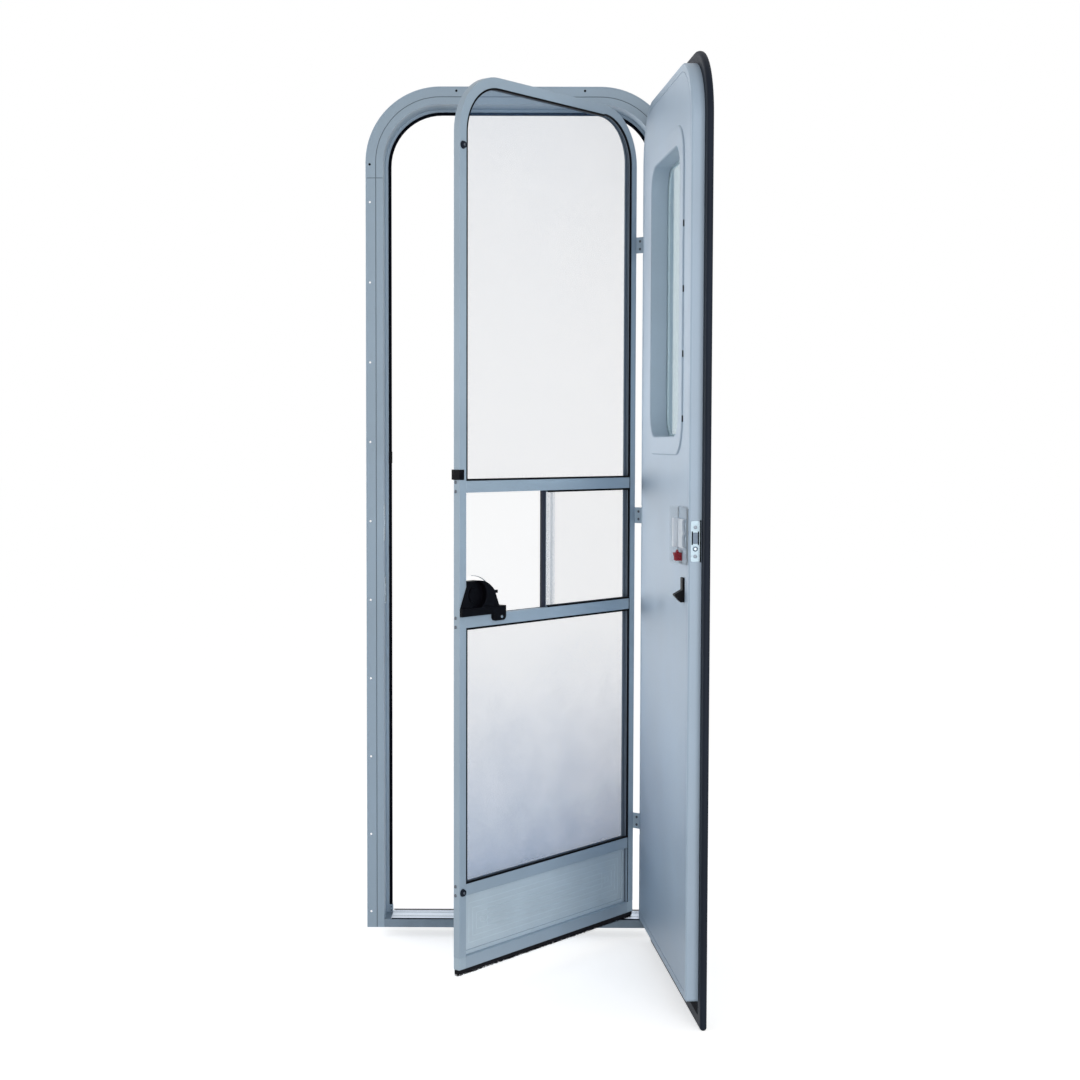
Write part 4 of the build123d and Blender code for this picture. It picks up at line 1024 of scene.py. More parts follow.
@dataclass(frozen=True)
class Field:
    """Opening or outline in the plane of the shut door, with bent or square upper corners."""

    left: float
    right: float
    low: float
    high: float
    bend: float = 0.0
    ARC_STEPS = 18

    @classmethod
    def within(cls, extent: Extent, bend: float = 0.0) -> "Field":
        """Field that fills an extent, with upper corners of a radius."""
        return cls(extent.low.x, extent.high.x, extent.low.z, extent.high.z, bend)

    def arc(self, side: int, inset: float, run_out: float = 0.0) -> Path:
        """Points round an upper corner.

        Args:
            side: 1 for the hinge side, -1 for the latch side.
            inset: Distance inwards from the edge.
            run_out: Distance that the path moves outwards on its way round.

        Returns:
            The points, from the upright side to the head.
        """
        x = self.right - self.bend if side > 0 else self.left + self.bend
        path = []
        for share in (i / self.ARC_STEPS for i in range(self.ARC_STEPS + 1)):
            angle, radius = math.pi / 2 * share, self.bend - inset + run_out * share
            path.append((x + side * radius * math.cos(angle), self.high - self.bend + radius * math.sin(angle)))
        return path

    def hinge_run(self, inset: float, run_out: float = 0.0) -> Path:
        """Path up the hinge side at an inset, and round its bend with a move outwards."""
        top = self.arc(1, inset, run_out) if self.bend else [(self.right - inset, self.high)]
        return [(self.right - inset, self.low), *top]

    def other_runs(self, inset: float) -> list[Path]:
        """Paths along the foot, the head and the latch side.

        Args:
            inset: Distance inwards from the edge.

        Returns:
            The points of each path, with the foot as the first.
        """
        foot = [(self.left, self.low + inset), (self.right, self.low + inset)]
        latch = (self.left + inset, self.low)
        if self.bend:
            return [foot, [self.arc(1, inset)[-1], *reversed(self.arc(-1, inset)), latch]]
        head = [(self.left, self.high - inset), (self.right, self.high - inset)]
        return [foot, head, [(self.left + inset, self.high), latch]]

    def outline(self) -> Path:
        """Corners and bends in turn, from the lower latch corner.

        Returns:
            The points of the outline.
        """
        head = [(self.right, self.high), (self.left, self.high)]
        if self.bend:
            head = [*self.arc(1, 0.0), *reversed(self.arc(-1, 0.0))]
        return [(self.left, self.low), (self.right, self.low), *head]

    def ring(self, inset: float) -> Path:
        """Closed path round a square opening at an inset, from its lower latch corner."""
        left, right, low, high = self.left + inset, self.right - inset, self.low + inset, self.high - inset
        return [(left, low), (right, low), (right, high), (left, high), (left, low)]


class Strips:
    """Strips of one section that follow paths, such as gaskets and pressed ridges."""

    def __init__(self) -> None:
        """Build the tree that sweeps a flat section along each path."""
        p = self.pattern = Pattern("strips")
        wide, deep = p.lengths("Wide", "Deep")
        curve = p.put("GeometryNodeMeshToCurve", {0: p.given.outputs[0]})
        upright = p.put("GeometryNodeSetCurveNormal", {0: curve}, mode="Z_UP")
        section = p.put("GeometryNodeCurvePrimitiveQuadrilateral", {"Width": wide, "Height": deep})
        inputs = {"Curve": upright, "Profile Curve": section, "Fill Caps": True}
        p.end(p.put("GeometryNodeCurveToMesh", inputs))

    def lay(
        self, name: str, leaf: Leaf, paths: Sequence[Path], section: Pair, middle: float, finish: Finish
    ) -> None:
        """Lay strips along paths in the plane of the shut door.

        Args:
            name: Name of the piece.
            leaf: Body that carries the strips.
            paths: X and Z of the points of each path, shut.
            section: Width in the plane of the door and size through it.
            middle: Y of the middle of the section, shut.
            finish: Finish of the strips.
        """
        points, edges = [], []
        for path in paths:
            first = len(points)
            points += [(x, z, 0.0) for x, z in path]
            edges += [(i, i + 1) for i in range(first, len(points) - 1)]
        base = bpy.data.meshes.new("paths")
        base.from_pydata(points, edges, [])
        mesh = self.pattern.run(base, finish, Wide=section[0], Deep=section[1])
        stand = Matrix.Translation((0.0, middle, 0.0)) @ Matrix.Rotation(math.pi / 2, 4, "X")
        swung_piece(name, mesh, leaf, stand, finish)


STRIPS = Strips()


class MeshThreads:
    """Woven fly mesh: two crossed sets of threads, trimmed to an arched or square opening."""

    def __init__(self) -> None:
        """Build the tree for a mesh that lies in the plane of X and Z."""
        p = self.pattern = Pattern("mesh_threads")
        self.width, self.height, self.bend, self.pitch, self.thread = p.lengths(
            "Width", "Height", "Bend", "Pitch", "Thread"
        )
        both = p.add("GeometryNodeJoinGeometry")
        for upright in (True, False):
            p.join(self._set(upright), both.inputs[0])
        p.end(both.outputs[0])

    def _set(self, upright: bool) -> Socket:
        """One set of threads.

        Args:
            upright: Whether the threads stand, or else lie across.

        Returns:
            The instances of the threads.
        """
        p = self.pattern
        span = self.width if upright else self.height
        count = p.maths("FLOOR", p.maths("DIVIDE", span, self.pitch))
        line = p.put("GeometryNodeMeshLine", {"Count": count}, mode="OFFSET")
        index = p.add("GeometryNodeInputIndex").outputs[0]
        along = p.maths("MULTIPLY", p.maths("ADD", index, 0.5), self.pitch)
        if upright:
            half = p.maths("MULTIPLY", self.width, 0.5)
            across = p.maths("SUBTRACT", along, half)
            length = p.maths("SUBTRACT", self.height, self._loss(p.maths("ABSOLUTE", across), half))
            place = p.vector(across, 0.0, p.maths("MULTIPLY", length, 0.5))
            scale = p.vector(self.thread, self.thread, length)
        else:
            both_ends = p.maths("MULTIPLY", self._loss(along, self.height), 2.0)
            length = p.maths("SUBTRACT", self.width, both_ends)
            place = p.vector(0.0, self.thread, along)
            scale = p.vector(length, self.thread, self.thread)
        moved = p.put("GeometryNodeSetPosition", {"Geometry": line, "Position": place})
        bar = p.put("GeometryNodeMeshCube", {"Size": (1.0, 1.0, 1.0)})
        return p.put("GeometryNodeInstanceOnPoints", {"Points": moved, "Instance": bar, "Scale": scale})

    def _loss(self, reach: Socket, edge: Socket) -> Socket:
        """Length that the bend takes off one end of a thread that runs into it.

        Args:
            reach: How far the thread lies from the middle or the foot.
            edge: How far the edge of the opening lies from it.

        Returns:
            The length, which is 0 outside the bend.
        """
        p = self.pattern
        into = p.maths("MAXIMUM", p.maths("SUBTRACT", reach, p.maths("SUBTRACT", edge, self.bend)), 0.0)
        rest = p.maths("SUBTRACT", p.maths("MULTIPLY", self.bend, self.bend), p.maths("MULTIPLY", into, into))
        return p.maths("SUBTRACT", self.bend, p.maths("SQRT", p.maths("MAXIMUM", rest, 0.0)))

    def weave(self, node: str, bend: float, pitch: float, thread: float) -> None:
        """Show a packed sheet of mesh as its threads.

        Args:
            node: Packed sheet.
            bend: Radius of its upper corners.
            pitch: Distance between threads.
            thread: Thickness of a thread.
        """
        sheet, leaf = Extent.of(node), leaf_of(node)
        mesh = self.pattern.run(
            point_mesh([Vector()]), THREAD,
            Width=sheet.size.x, Height=sheet.size.z, Bend=bend, Pitch=pitch, Thread=thread,
        )
        place = Matrix.Translation((sheet.middle.x, sheet.middle.y, sheet.low.z))
        mesh.transform(SWING.matrix(leaf) @ place)
        new_piece(node + "_threads", mesh, leaf, THREAD, [node])


class Bristles:
    """Bristles scattered under a rail."""

    LEAN = 0.10
    TURN = 3.0
    SHORTEST = 0.84
    FACETS = 4
    TIP = 0.35
    ROOT = 0.5
    PLACE_SEED = 7
    LEAN_SEED = 11
    REACH_SEED = 5

    def __init__(self) -> None:
        """Build the tree that scatters bristles along a strip."""
        p = self.pattern = Pattern("brush_bristles")
        length, depth, drop, thickness = p.lengths("Length", "Depth", "Drop", "Thickness")
        line = p.put("GeometryNodeMeshLine", {"Count": p.ask("Count", TreeInput.COUNT)}, mode="OFFSET")
        near, far = (
            p.vector(p.maths("MULTIPLY", length, half), p.maths("MULTIPLY", depth, half), 0.0) for half in (-0.5, 0.5)
        )
        place = self._random(near, far, self.PLACE_SEED)
        moved = p.put("GeometryNodeSetPosition", {"Geometry": line, "Position": place})
        bar = p.put(
            "GeometryNodeMeshCone",
            {
                "Vertices": self.FACETS, "Depth": drop,
                "Radius Bottom": p.maths("MULTIPLY", thickness, self.TIP),
                "Radius Top": p.maths("MULTIPLY", thickness, self.ROOT),
            },
            fill_type="NONE",
        )
        down = p.vector(0.0, 0.0, p.maths("MULTIPLY", drop, -1.0))
        lean = self._random((-self.LEAN, -self.LEAN, 0.0), (self.LEAN, self.LEAN, self.TURN), self.LEAN_SEED)
        inputs = {
            "Points": moved, "Instance": p.put("GeometryNodeTransform", {0: bar, "Translation": down}),
            "Rotation": lean, "Scale": self._random((1.0, 1.0, self.SHORTEST), (1.0, 1.0, 1.0), self.REACH_SEED),
        }
        p.end(p.put("GeometryNodeInstanceOnPoints", inputs))

    def _random(self, low: object, high: object, seed: int) -> Socket:
        """Random vector for each bristle, between two vectors and from a fixed seed."""
        inputs = {0: low, 1: high, "Seed": seed}
        return self.pattern.put("FunctionNodeRandomValue", inputs, data_type="FLOAT_VECTOR")

    def hang(self, name: str, leaf: Leaf, strip: Extent, count: int, thickness: float, below: float) -> None:
        """Hang bristles in the space of a packed strip, with their tips below it.

        Args:
            name: Name of the piece.
            leaf: Body that carries the brush.
            strip: Space of the strip on the shut door.
            count: Number of bristles.
            thickness: Thickness of a bristle.
            below: Length of the tips under the strip.
        """
        mesh = self.pattern.run(
            point_mesh([Vector()]), BRISTLE, Length=strip.size.x - thickness, Depth=strip.size.y - thickness,
            Drop=strip.size.z + below, Thickness=thickness, Count=count,
        )
        place = Matrix.Translation((strip.middle.x, strip.middle.y, strip.high.z))
        mesh.transform(SWING.matrix(leaf) @ place)
        new_piece(name, mesh, leaf, BRISTLE)


def sheet_mesh(outline: Path, leaf: Leaf, depth: float) -> bpy.types.Mesh:
    """Thin upright sheet inside an outline.

    Args:
        outline: X and Z of its corners, shut.
        leaf: Body that the sheet rides on.
        depth: Y of the sheet on the shut door.

    Returns:
        A mesh of one face in the modelled pose.
    """
    mesh = bpy.data.meshes.new("sheet")
    mesh.from_pydata([(x, depth, z) for x, z in outline], [], [range(len(outline))])
    mesh.transform(SWING.matrix(leaf))
    return mesh


# Sub-assemblies


@dataclass
class OuterFrame:
    """Frame in the wall: arch, jambs, sill, seal, strikes and the fixed hinge leaves."""

    edge: float = 0.5 * MM
    pad: Point = (14.0 * MM, 11.0 * MM, 0.6 * MM)
    pad_edge: float = 0.2 * MM
    pad_rises: Pair = (10.5 * MM, 48.5 * MM)
    pad_proud: float = 0.4 * MM
    pad_setback: float = 13.0 * MM
    keeper_foot: float = 979.0 * MM
    keeper_height: float = 25.0 * MM
    keeper_width: float = 7.2 * MM
    keeper_proud: float = 0.8 * MM
    keeper_edge: float = 1.2 * MM
    end_screw: Pair = (3.6 * MM, 0.7 * MM)
    end_inset: Pair = (4.0 * MM, 4.8 * MM)
    arch_screw: Pair = (5.2 * MM, 1.6 * MM)
    arch_seat: float = 1.5 * MM
    arch_holes: float = 265.0 * MM
    hole_inset: float = 8.5 * MM
    leg_hole: float = 27.0 * MM
    bend: float = 155.0 * MM
    flange: float = 36.0 * MM
    groove: float = 20.8 * MM
    groove_floor: float = 1.5 * MM
    groove_line: Pair = (1.4 * MM, 0.4 * MM)
    lap_line: Pair = (1.2 * MM, 0.5 * MM)
    lap_down: float = 0.6 * MM
    lap_back: float = 0.7 * MM
    tread_stop: float = 1.0 * MM
    tread_edge: Pair = (0.8 * MM, 2.2 * MM)
    tread_edge_round: float = 0.2 * MM
    tread_front: Pair = (0.4 * MM, 1.2 * MM)
    tread_back: Pair = (0.6 * MM, 1.0 * MM)
    tread_groove: Pair = (2.6 * MM, 0.5 * MM)
    tread_groove_round: float = 0.15 * MM
    tread_groove_sink: float = 0.1 * MM
    tread_shares: Pair = (0.2, 0.68)

    def build(self) -> None:
        """Finish the frame's solids and add the fittings of its latch side."""
        for node in ("left_jamb", "right_jamb", "frame_arch", "hinge_leaves"):
            dress(node, POWDER, self.edge)
        # The sill's darker coat is painted shade.
        dress("sill", SHADED_SILL, self.edge)
        dress("sill_tread", BRIGHT, 0.3 * MM)
        dress("frame_seal", SEAL, 0.5 * MM)
        dress("seal_ends", MOULDED, 0.8 * MM)
        dress("hinge_pins", STEEL, 0.8 * MM)
        dress("jamb_strikes", STEEL, 0.25 * MM)
        self.fill_strike()
        self.clip_keeper()
        self.screw_seal_ends()
        self.screw_arch()
        self.shade_grooves()
        self.line_tread()

    def fill_strike(self) -> None:
        """Set dark pads in the two slots of the screen's strike, as painted shade inside the slots."""
        strikes = Extent.of("jamb_strikes")
        x, y = strikes.low.x + self.pad_proud, strikes.high.y - self.pad_setback
        points = [Vector((x, y, strikes.low.z + rise)) for rise in self.pad_rises]
        pad = rounded_bar(self.pad, self.pad_edge)
        REPEATS.lay("strike_slot_pads", Leaf.FRAME, points, HINGE_SIDE, pad, BLACK)

    def clip_keeper(self) -> None:
        """Clip the dark keeper of the screen's catch on to the seal."""
        seal = Extent.of("frame_seal")
        wide, high = self.keeper_width, self.keeper_height
        middle = Vector((seal.low.x + wide / 2, seal.middle.y, self.keeper_foot + high / 2))
        clip = rounded_bar((wide, seal.size.y + self.keeper_proud, high), self.keeper_edge)
        REPEATS.lay("catch_keeper", Leaf.FRAME, [middle], UP, clip, BLACK)

    def screw_seal_ends(self) -> None:
        """Drive two dark screws into the front of each seal end block."""
        ends = Extent.of("seal_ends")
        across, up = self.end_inset
        points = [
            Vector((x, ends.low.y, z))
            for x in (ends.low.x + across, ends.high.x - across)
            for z in (ends.low.z + up, ends.high.z - up)
        ]
        SCREWS.drive("seal_end_screws", Leaf.FRAME, points, FRONT, self.end_screw, DARK_STEEL)

    def screw_arch(self) -> None:
        """Drive dark screws into the four holes of the arch."""
        arch = Extent.of("frame_arch")
        face, head, foot = arch.low.y + self.arch_seat, arch.high.z - self.hole_inset, arch.low.z + self.leg_hole
        points = [Vector((side * self.arch_holes / 2, face, head)) for side in SIDES]
        points += [Vector((side * (arch.high.x - self.hole_inset), face, foot)) for side in SIDES]
        SCREWS.drive("arch_screws", Leaf.FRAME, points, FRONT, self.arch_screw, BLACK)

    def shade_grooves(self) -> None:
        """Darken the groove of the flange, and the laps of the arch on the jambs."""
        arch, jamb = Extent.of("frame_arch"), Extent.of("left_jamb")
        inset, section = self.groove, self.groove_line
        run = Field.within(arch, self.bend)
        over = [*run.hinge_run(inset), *reversed(run.arc(-1, inset)), (run.left + inset, run.low)]
        STRIPS.lay("arch_groove", Leaf.FRAME, [over], section, arch.low.y + self.groove_floor, GROOVE)
        sides = [side * (arch.high.x - inset) for side in SIDES]
        uprights = [[(x, jamb.low.z), (x, jamb.high.z)] for x in sides]
        STRIPS.lay("jamb_grooves", Leaf.FRAME, uprights, section, jamb.low.y + self.groove_floor, GROOVE)
        lap = jamb.high.z - self.lap_down
        ends = [[(side * jamb.low.x, lap), (side * (jamb.low.x + self.flange), lap)] for side in SIDES]
        STRIPS.lay("arch_laps", Leaf.FRAME, ends, self.lap_line, jamb.low.y + self.lap_back, GROOVE)

    def line_tread(self) -> None:
        """Stand the dark edges on the tread, and lay its shallow grooves."""
        tread = Extent.of("sill_tread")
        length = tread.size.x - 2 * self.tread_stop
        (ahead, rise), (behind, proud) = self.tread_front, self.tread_back
        edges = [
            Vector((0, tread.low.y - ahead, tread.low.z + rise)),
            Vector((0, tread.high.y - behind, tread.high.z + proud)),
        ]
        bar = rounded_bar((length, *self.tread_edge), self.tread_edge_round)
        REPEATS.lay("tread_edges", Leaf.FRAME, edges, UP, bar, SEAL)
        level = tread.high.z - self.tread_groove_sink
        grooves = [Vector((0, tread.low.y + tread.size.y * share, level)) for share in self.tread_shares]
        bar = rounded_bar((length, *self.tread_groove), self.tread_groove_round)
        REPEATS.lay("tread_grooves", Leaf.FRAME, grooves, UP, bar, GROOVE)


@dataclass
class FlyScreen:
    """Fly-screen door: bent frame, rails, mesh, hatch, lock, catch, bumpers and brush."""

    edge: float = 0.8 * MM
    pitch: float = 1.35 * MM
    thread: float = 0.065 * MM
    film_off: float = 2.0
    # Tint, roughness, cover and fall of the painted shade films over the mesh.
    shade_tint: Colour = (0.165, 0.325, 0.565)
    shade_matt: float = 0.8
    head_shade_thick: float = 0.12
    head_shade_gather: float = 2.5
    bristles: int = 6500
    bristle: float = 0.5 * MM
    tips: float = 5.0 * MM
    gasket: Pair = (3.8 * MM, 3.0 * MM)
    gasket_set: float = 0.4 * MM
    hinge_gasket: float = 1.6 * MM
    lining: Pair = (0.4 * MM, 6.0 * MM)
    channel_groove: Pair = (0.7 * MM, 0.9 * MM)
    channel_groove_back: float = 3.8 * MM
    lip: Pair = (7.8 * MM, 0.8 * MM)
    lip_ahead: float = 0.6 * MM
    lip_edge: Pair = (3.0 * MM, 0.8 * MM)
    lip_edge_ahead: float = 0.9 * MM
    seam: Pair = (1.6 * MM, 1.0 * MM)
    seam_out: float = 0.5 * MM
    bead_wide: float = 7.0 * MM
    bead_proud: float = 2.5 * MM
    ridge: Pair = (2.0 * MM, 0.6 * MM)
    ridge_first: float = 20.0 * MM
    ridge_pitch: float = 11.0 * MM
    ridges: int = 6
    panel_line: Pair = (1.0 * MM, 1.0 * MM)
    notch_wide: float = 0.9 * MM
    notch_proud: float = 0.2 * MM
    rail_screw: Pair = (6.5 * MM, 1.3 * MM)
    rail_screw_apart: float = 8.5 * MM
    rail_screw_inset: float = 9.5 * MM
    lock_screw: Pair = (6.0 * MM, 1.2 * MM)
    lock_tab: Pair = (12.5 * MM, 7.0 * MM)
    bumper_screw: Pair = (5.0 * MM, 0.8 * MM)
    arm_screw: Pair = (5.5 * MM, 1.0 * MM)
    arm_screw_ahead: float = 9.0 * MM
    arm_screw_apart: float = 8.0 * MM

    def build(self) -> None:
        """Finish the screen's solids and add threads, screws and bristles."""
        dress("screen_bend", POWDER, self.edge)
        for rail in ("upper", "lower", "kick", "bottom"):
            dress(f"screen_{rail}_rail", POWDER, self.edge)
        dress("screen_corners", CORNER, 1.5 * MM, 3)
        dress("kick_panel", PANEL, 0.6 * MM)
        dress("screen_hinge_arms", ARM, 0.4 * MM)
        dress("hatch_post", POST, 1.0 * MM)
        dress("hatch_tracks", BLACK, 0.3 * MM)
        dress("screen_lock", BLACK, 1.0 * MM, 3)
        dress("screen_catch", BLACK, 0.5 * MM)
        dress("screen_bumpers", RUBBER, 1.2 * MM, 4)
        dress("mesh_splines", SPLINE, 0.5 * MM)
        dress("brush_seal", BRISTLE, 0.5 * MM)
        dress("hatch_panel", ACRYLIC, 0.3 * MM)
        dress("hatch_pull", BAND, 0.3 * MM)
        self.fill_mesh()
        self.fit_gaskets()
        self.press_panel()
        self.line_notch()
        self.fix_screws()
        self.fit_brush()

    def fill_mesh(self) -> None:
        """Weave the three fields of mesh, and lay films of painted shade over the lowest one, darkest at its foot,
        and over the head of the highest.
        """
        weaver, bend = MeshThreads(), self.corner_radius()
        for node, corner in (("upper_mesh", bend), ("lower_mesh", 0.0), ("hatch_mesh", 0.0)):
            weaver.weave(node, corner, self.pitch, self.thread)
        lower, upper = Extent.of("lower_mesh"), Extent.of("upper_mesh")
        # Painted shade: the lowest field darkens towards its foot, the highest towards its head.
        foot_shade_film = ShadeFilm(
            "mesh_dust", Slot.MESH, self.shade_tint, self.shade_matt, foot=lower.low.z, head=lower.high.z
        )
        head_shade_film = ShadeFilm(
            "mesh_veil", Slot.MESH, self.shade_tint, self.shade_matt, foot=upper.high.z, head=upper.low.z,
            thin=0.0, thick=self.head_shade_thick, gather=self.head_shade_gather,
        )
        square, arched = Field.within(lower).outline(), Field.within(upper, bend).outline()
        off = self.thread * self.film_off
        for name, outline, depth, film in (
            ("lower_mesh_dust", square, lower.middle.y + off, foot_shade_film),
            ("lower_mesh_dust_back", square, lower.middle.y - off, foot_shade_film),
            ("upper_mesh_veil", arched, upper.middle.y + off, head_shade_film),
        ):
            new_piece(name, sheet_mesh(outline, Leaf.SCREEN, depth), Leaf.SCREEN, film)

    def fields(self) -> dict[str, Field]:
        """Openings of the fly-screen.

        Returns:
            The three openings for mesh and the one for the kick panel, by name.
        """
        stile = Extent.of("screen_bend")
        upper, lower, kick, bottom = (
            Extent.of(f"screen_{name}_rail") for name in ("upper", "lower", "kick", "bottom")
        )
        left, right = upper.low.x, upper.high.x
        tuck = (Extent.of("upper_mesh").size.x - (right - left)) / 2
        head = stile.high.z - (left - stile.low.x)
        return {
            "upper": Field(left, right, upper.high.z, head, self.corner_radius() - tuck),
            "hatch": Field(Extent.of("hatch_post").high.x, right, lower.high.z, upper.low.z),
            "lower": Field(left, right, kick.high.z, lower.low.z),
            "kick": Field(left, right, bottom.high.z, kick.low.z),
        }

    def fit_gaskets(self) -> None:
        """Lay black gaskets round the mesh, and the lined channel that shows on the hinge side."""
        fields = self.fields()
        upper, hatch, lower, kick = (fields[name] for name in ("upper", "hatch", "lower", "kick"))
        meshes = (upper, hatch, lower)
        front, sheet = Extent.of("screen_bend").low.y, Extent.of("upper_mesh").low.y
        wide, deep = self.gasket
        middle, back = front + self.gasket_set + deep / 2, front + self.gasket_set + deep
        around = [path for field in (upper, lower) for path in field.other_runs(wide / 2)]
        around += hatch.other_runs(wide / 2)[:-1]
        thin, lip = self.hinge_gasket, self.lip[0]
        lined = [field.hinge_run(self.lining[0] / 2) for field in fields.values()]
        inner = lip - self.lip_edge[0] / 2
        whole = Field(upper.left, upper.right, kick.low, upper.high, upper.bend)
        for name, paths, section, depth, finish in (
            ("mesh_gaskets", around, self.gasket, middle, BLACK),
            ("hinge_gaskets", [field.hinge_run(thin / 2) for field in meshes], (thin, deep), middle, BLACK),
            ("channel_lining", lined, self.lining, back + self.lining[1] / 2, LINING_AND_SHADOW_LINE),
            ("channel_groove", lined, self.channel_groove, back + self.channel_groove_back, BLACK),
            ("channel_lips", [f.hinge_run(lip / 2, lip) for f in meshes], self.lip, sheet - self.lip_ahead, SPLINE),
            ("channel_lip_edges", [f.hinge_run(inner, lip) for f in meshes], self.lip_edge,
             sheet - self.lip_edge_ahead, LINING_AND_SHADOW_LINE),
            ("hinge_seam", [whole.hinge_run(-self.seam_out)], self.seam, front, RUBBER),
        ):
            STRIPS.lay(name, Leaf.SCREEN, paths, section, depth, finish)

    def press_panel(self) -> None:
        """Press faint nested ridges into the kick panel, and seat it on a painted shadow line along its foot and
        hinge side.
        """
        kick = self.fields()["kick"]
        face = Extent.of("kick_panel").low.y + self.bead_proud
        rings = [kick.ring(self.ridge_first + self.ridge_pitch * i) for i in range(self.ridges)]
        # The ridges' lighter coat is a painted highlight.
        STRIPS.lay("panel_ridges", Leaf.SCREEN, rings, self.ridge, face, RIDGE_HIGHLIGHT)
        # Painted shadow: a dark line where the panel meets its bead, at the foot and the hinge side.
        foot_and_hinge = kick.ring(self.bead_wide)[:3]
        STRIPS.lay("panel_line", Leaf.SCREEN, [foot_and_hinge], self.panel_line, face, LINING_AND_SHADOW_LINE)

    def line_notch(self) -> None:
        """Show the cut edge of the hatch panel where it clears the lock."""
        panel = Extent.of("hatch_panel")
        low, high = panel.low, panel.high
        places = {(round(p.x, 5), round(p.z, 5)) for p in shut_points("hatch_panel")}
        notch = sorted(
            (x, z) for x, z in places
            if low.x + MM < x < high.x - MM and low.z + MM < z < high.z - MM
        )
        section = (self.notch_wide, panel.size.y + self.notch_proud)
        STRIPS.lay("notch_edge", Leaf.HATCH, [notch], section, panel.middle.y, EDGE)

    @staticmethod
    def corner_radius() -> float:
        """Radius of the mesh's upper corners, from the height at which its side starts to bend in."""
        sheet = Extent.of("upper_mesh")
        return sheet.high.z - max(p.z for p in shut_points("upper_mesh") if p.x < sheet.low.x + NEAR)

    def fix_screws(self) -> None:
        """Drive the rail screws, the arm screws, the bumper screws and the lock's screw."""
        stile = Extent.of("screen_bend")
        rails = [Extent.of(f"screen_{name}_rail") for name in ("upper", "lower", "kick")]
        points = [
            Vector((stile.low.x, stile.low.y + self.rail_screw_inset, rail.middle.z + side * self.rail_screw_apart))
            for rail in rails
            for side in SIDES
        ]
        SCREWS.drive("rail_screws", Leaf.SCREEN, points, LATCH_SIDE, self.rail_screw, DARK_STEEL)
        lock = Extent.of("screen_lock")
        inset, rise = self.lock_tab
        tab = Vector((lock.high.x - inset, lock.low.y, lock.low.z + rise))
        SCREWS.drive("lock_screw", Leaf.SCREEN, [tab], FRONT, self.lock_screw, STEEL)
        bumpers = Extent.of("screen_bumpers")
        radius = bumpers.size.x / 2
        middles = [
            Vector((bumpers.middle.x, bumpers.low.y, z)) for z in (bumpers.low.z + radius, bumpers.high.z - radius)
        ]
        SCREWS.drive("bumper_screws", Leaf.SCREEN, middles, FRONT, self.bumper_screw, DARK_STEEL)
        holes = [
            Vector((stile.high.x, stile.low.y - self.arm_screw_ahead, z + side * self.arm_screw_apart))
            for z in self.arm_heights()
            for side in SIDES
        ]
        SCREWS.drive("arm_screws", Leaf.SCREEN, holes, LATCH_SIDE, self.arm_screw, DARK_STEEL)

    @staticmethod
    def arm_heights() -> list[float]:
        """Middle of each hinge arm, from the foot up."""
        levels = sorted({round(p.z, 4) for p in shut_points("screen_hinge_arms")})
        return [(low + high) / 2 for low, high in zip(levels[0::2], levels[1::2])]

    def fit_brush(self) -> None:
        """Hang bristles below the brush strip's carrier."""
        strip = Extent.of("brush_seal")
        Bristles().hang("brush_bristles", Leaf.SCREEN, strip, self.bristles, self.bristle, self.tips)


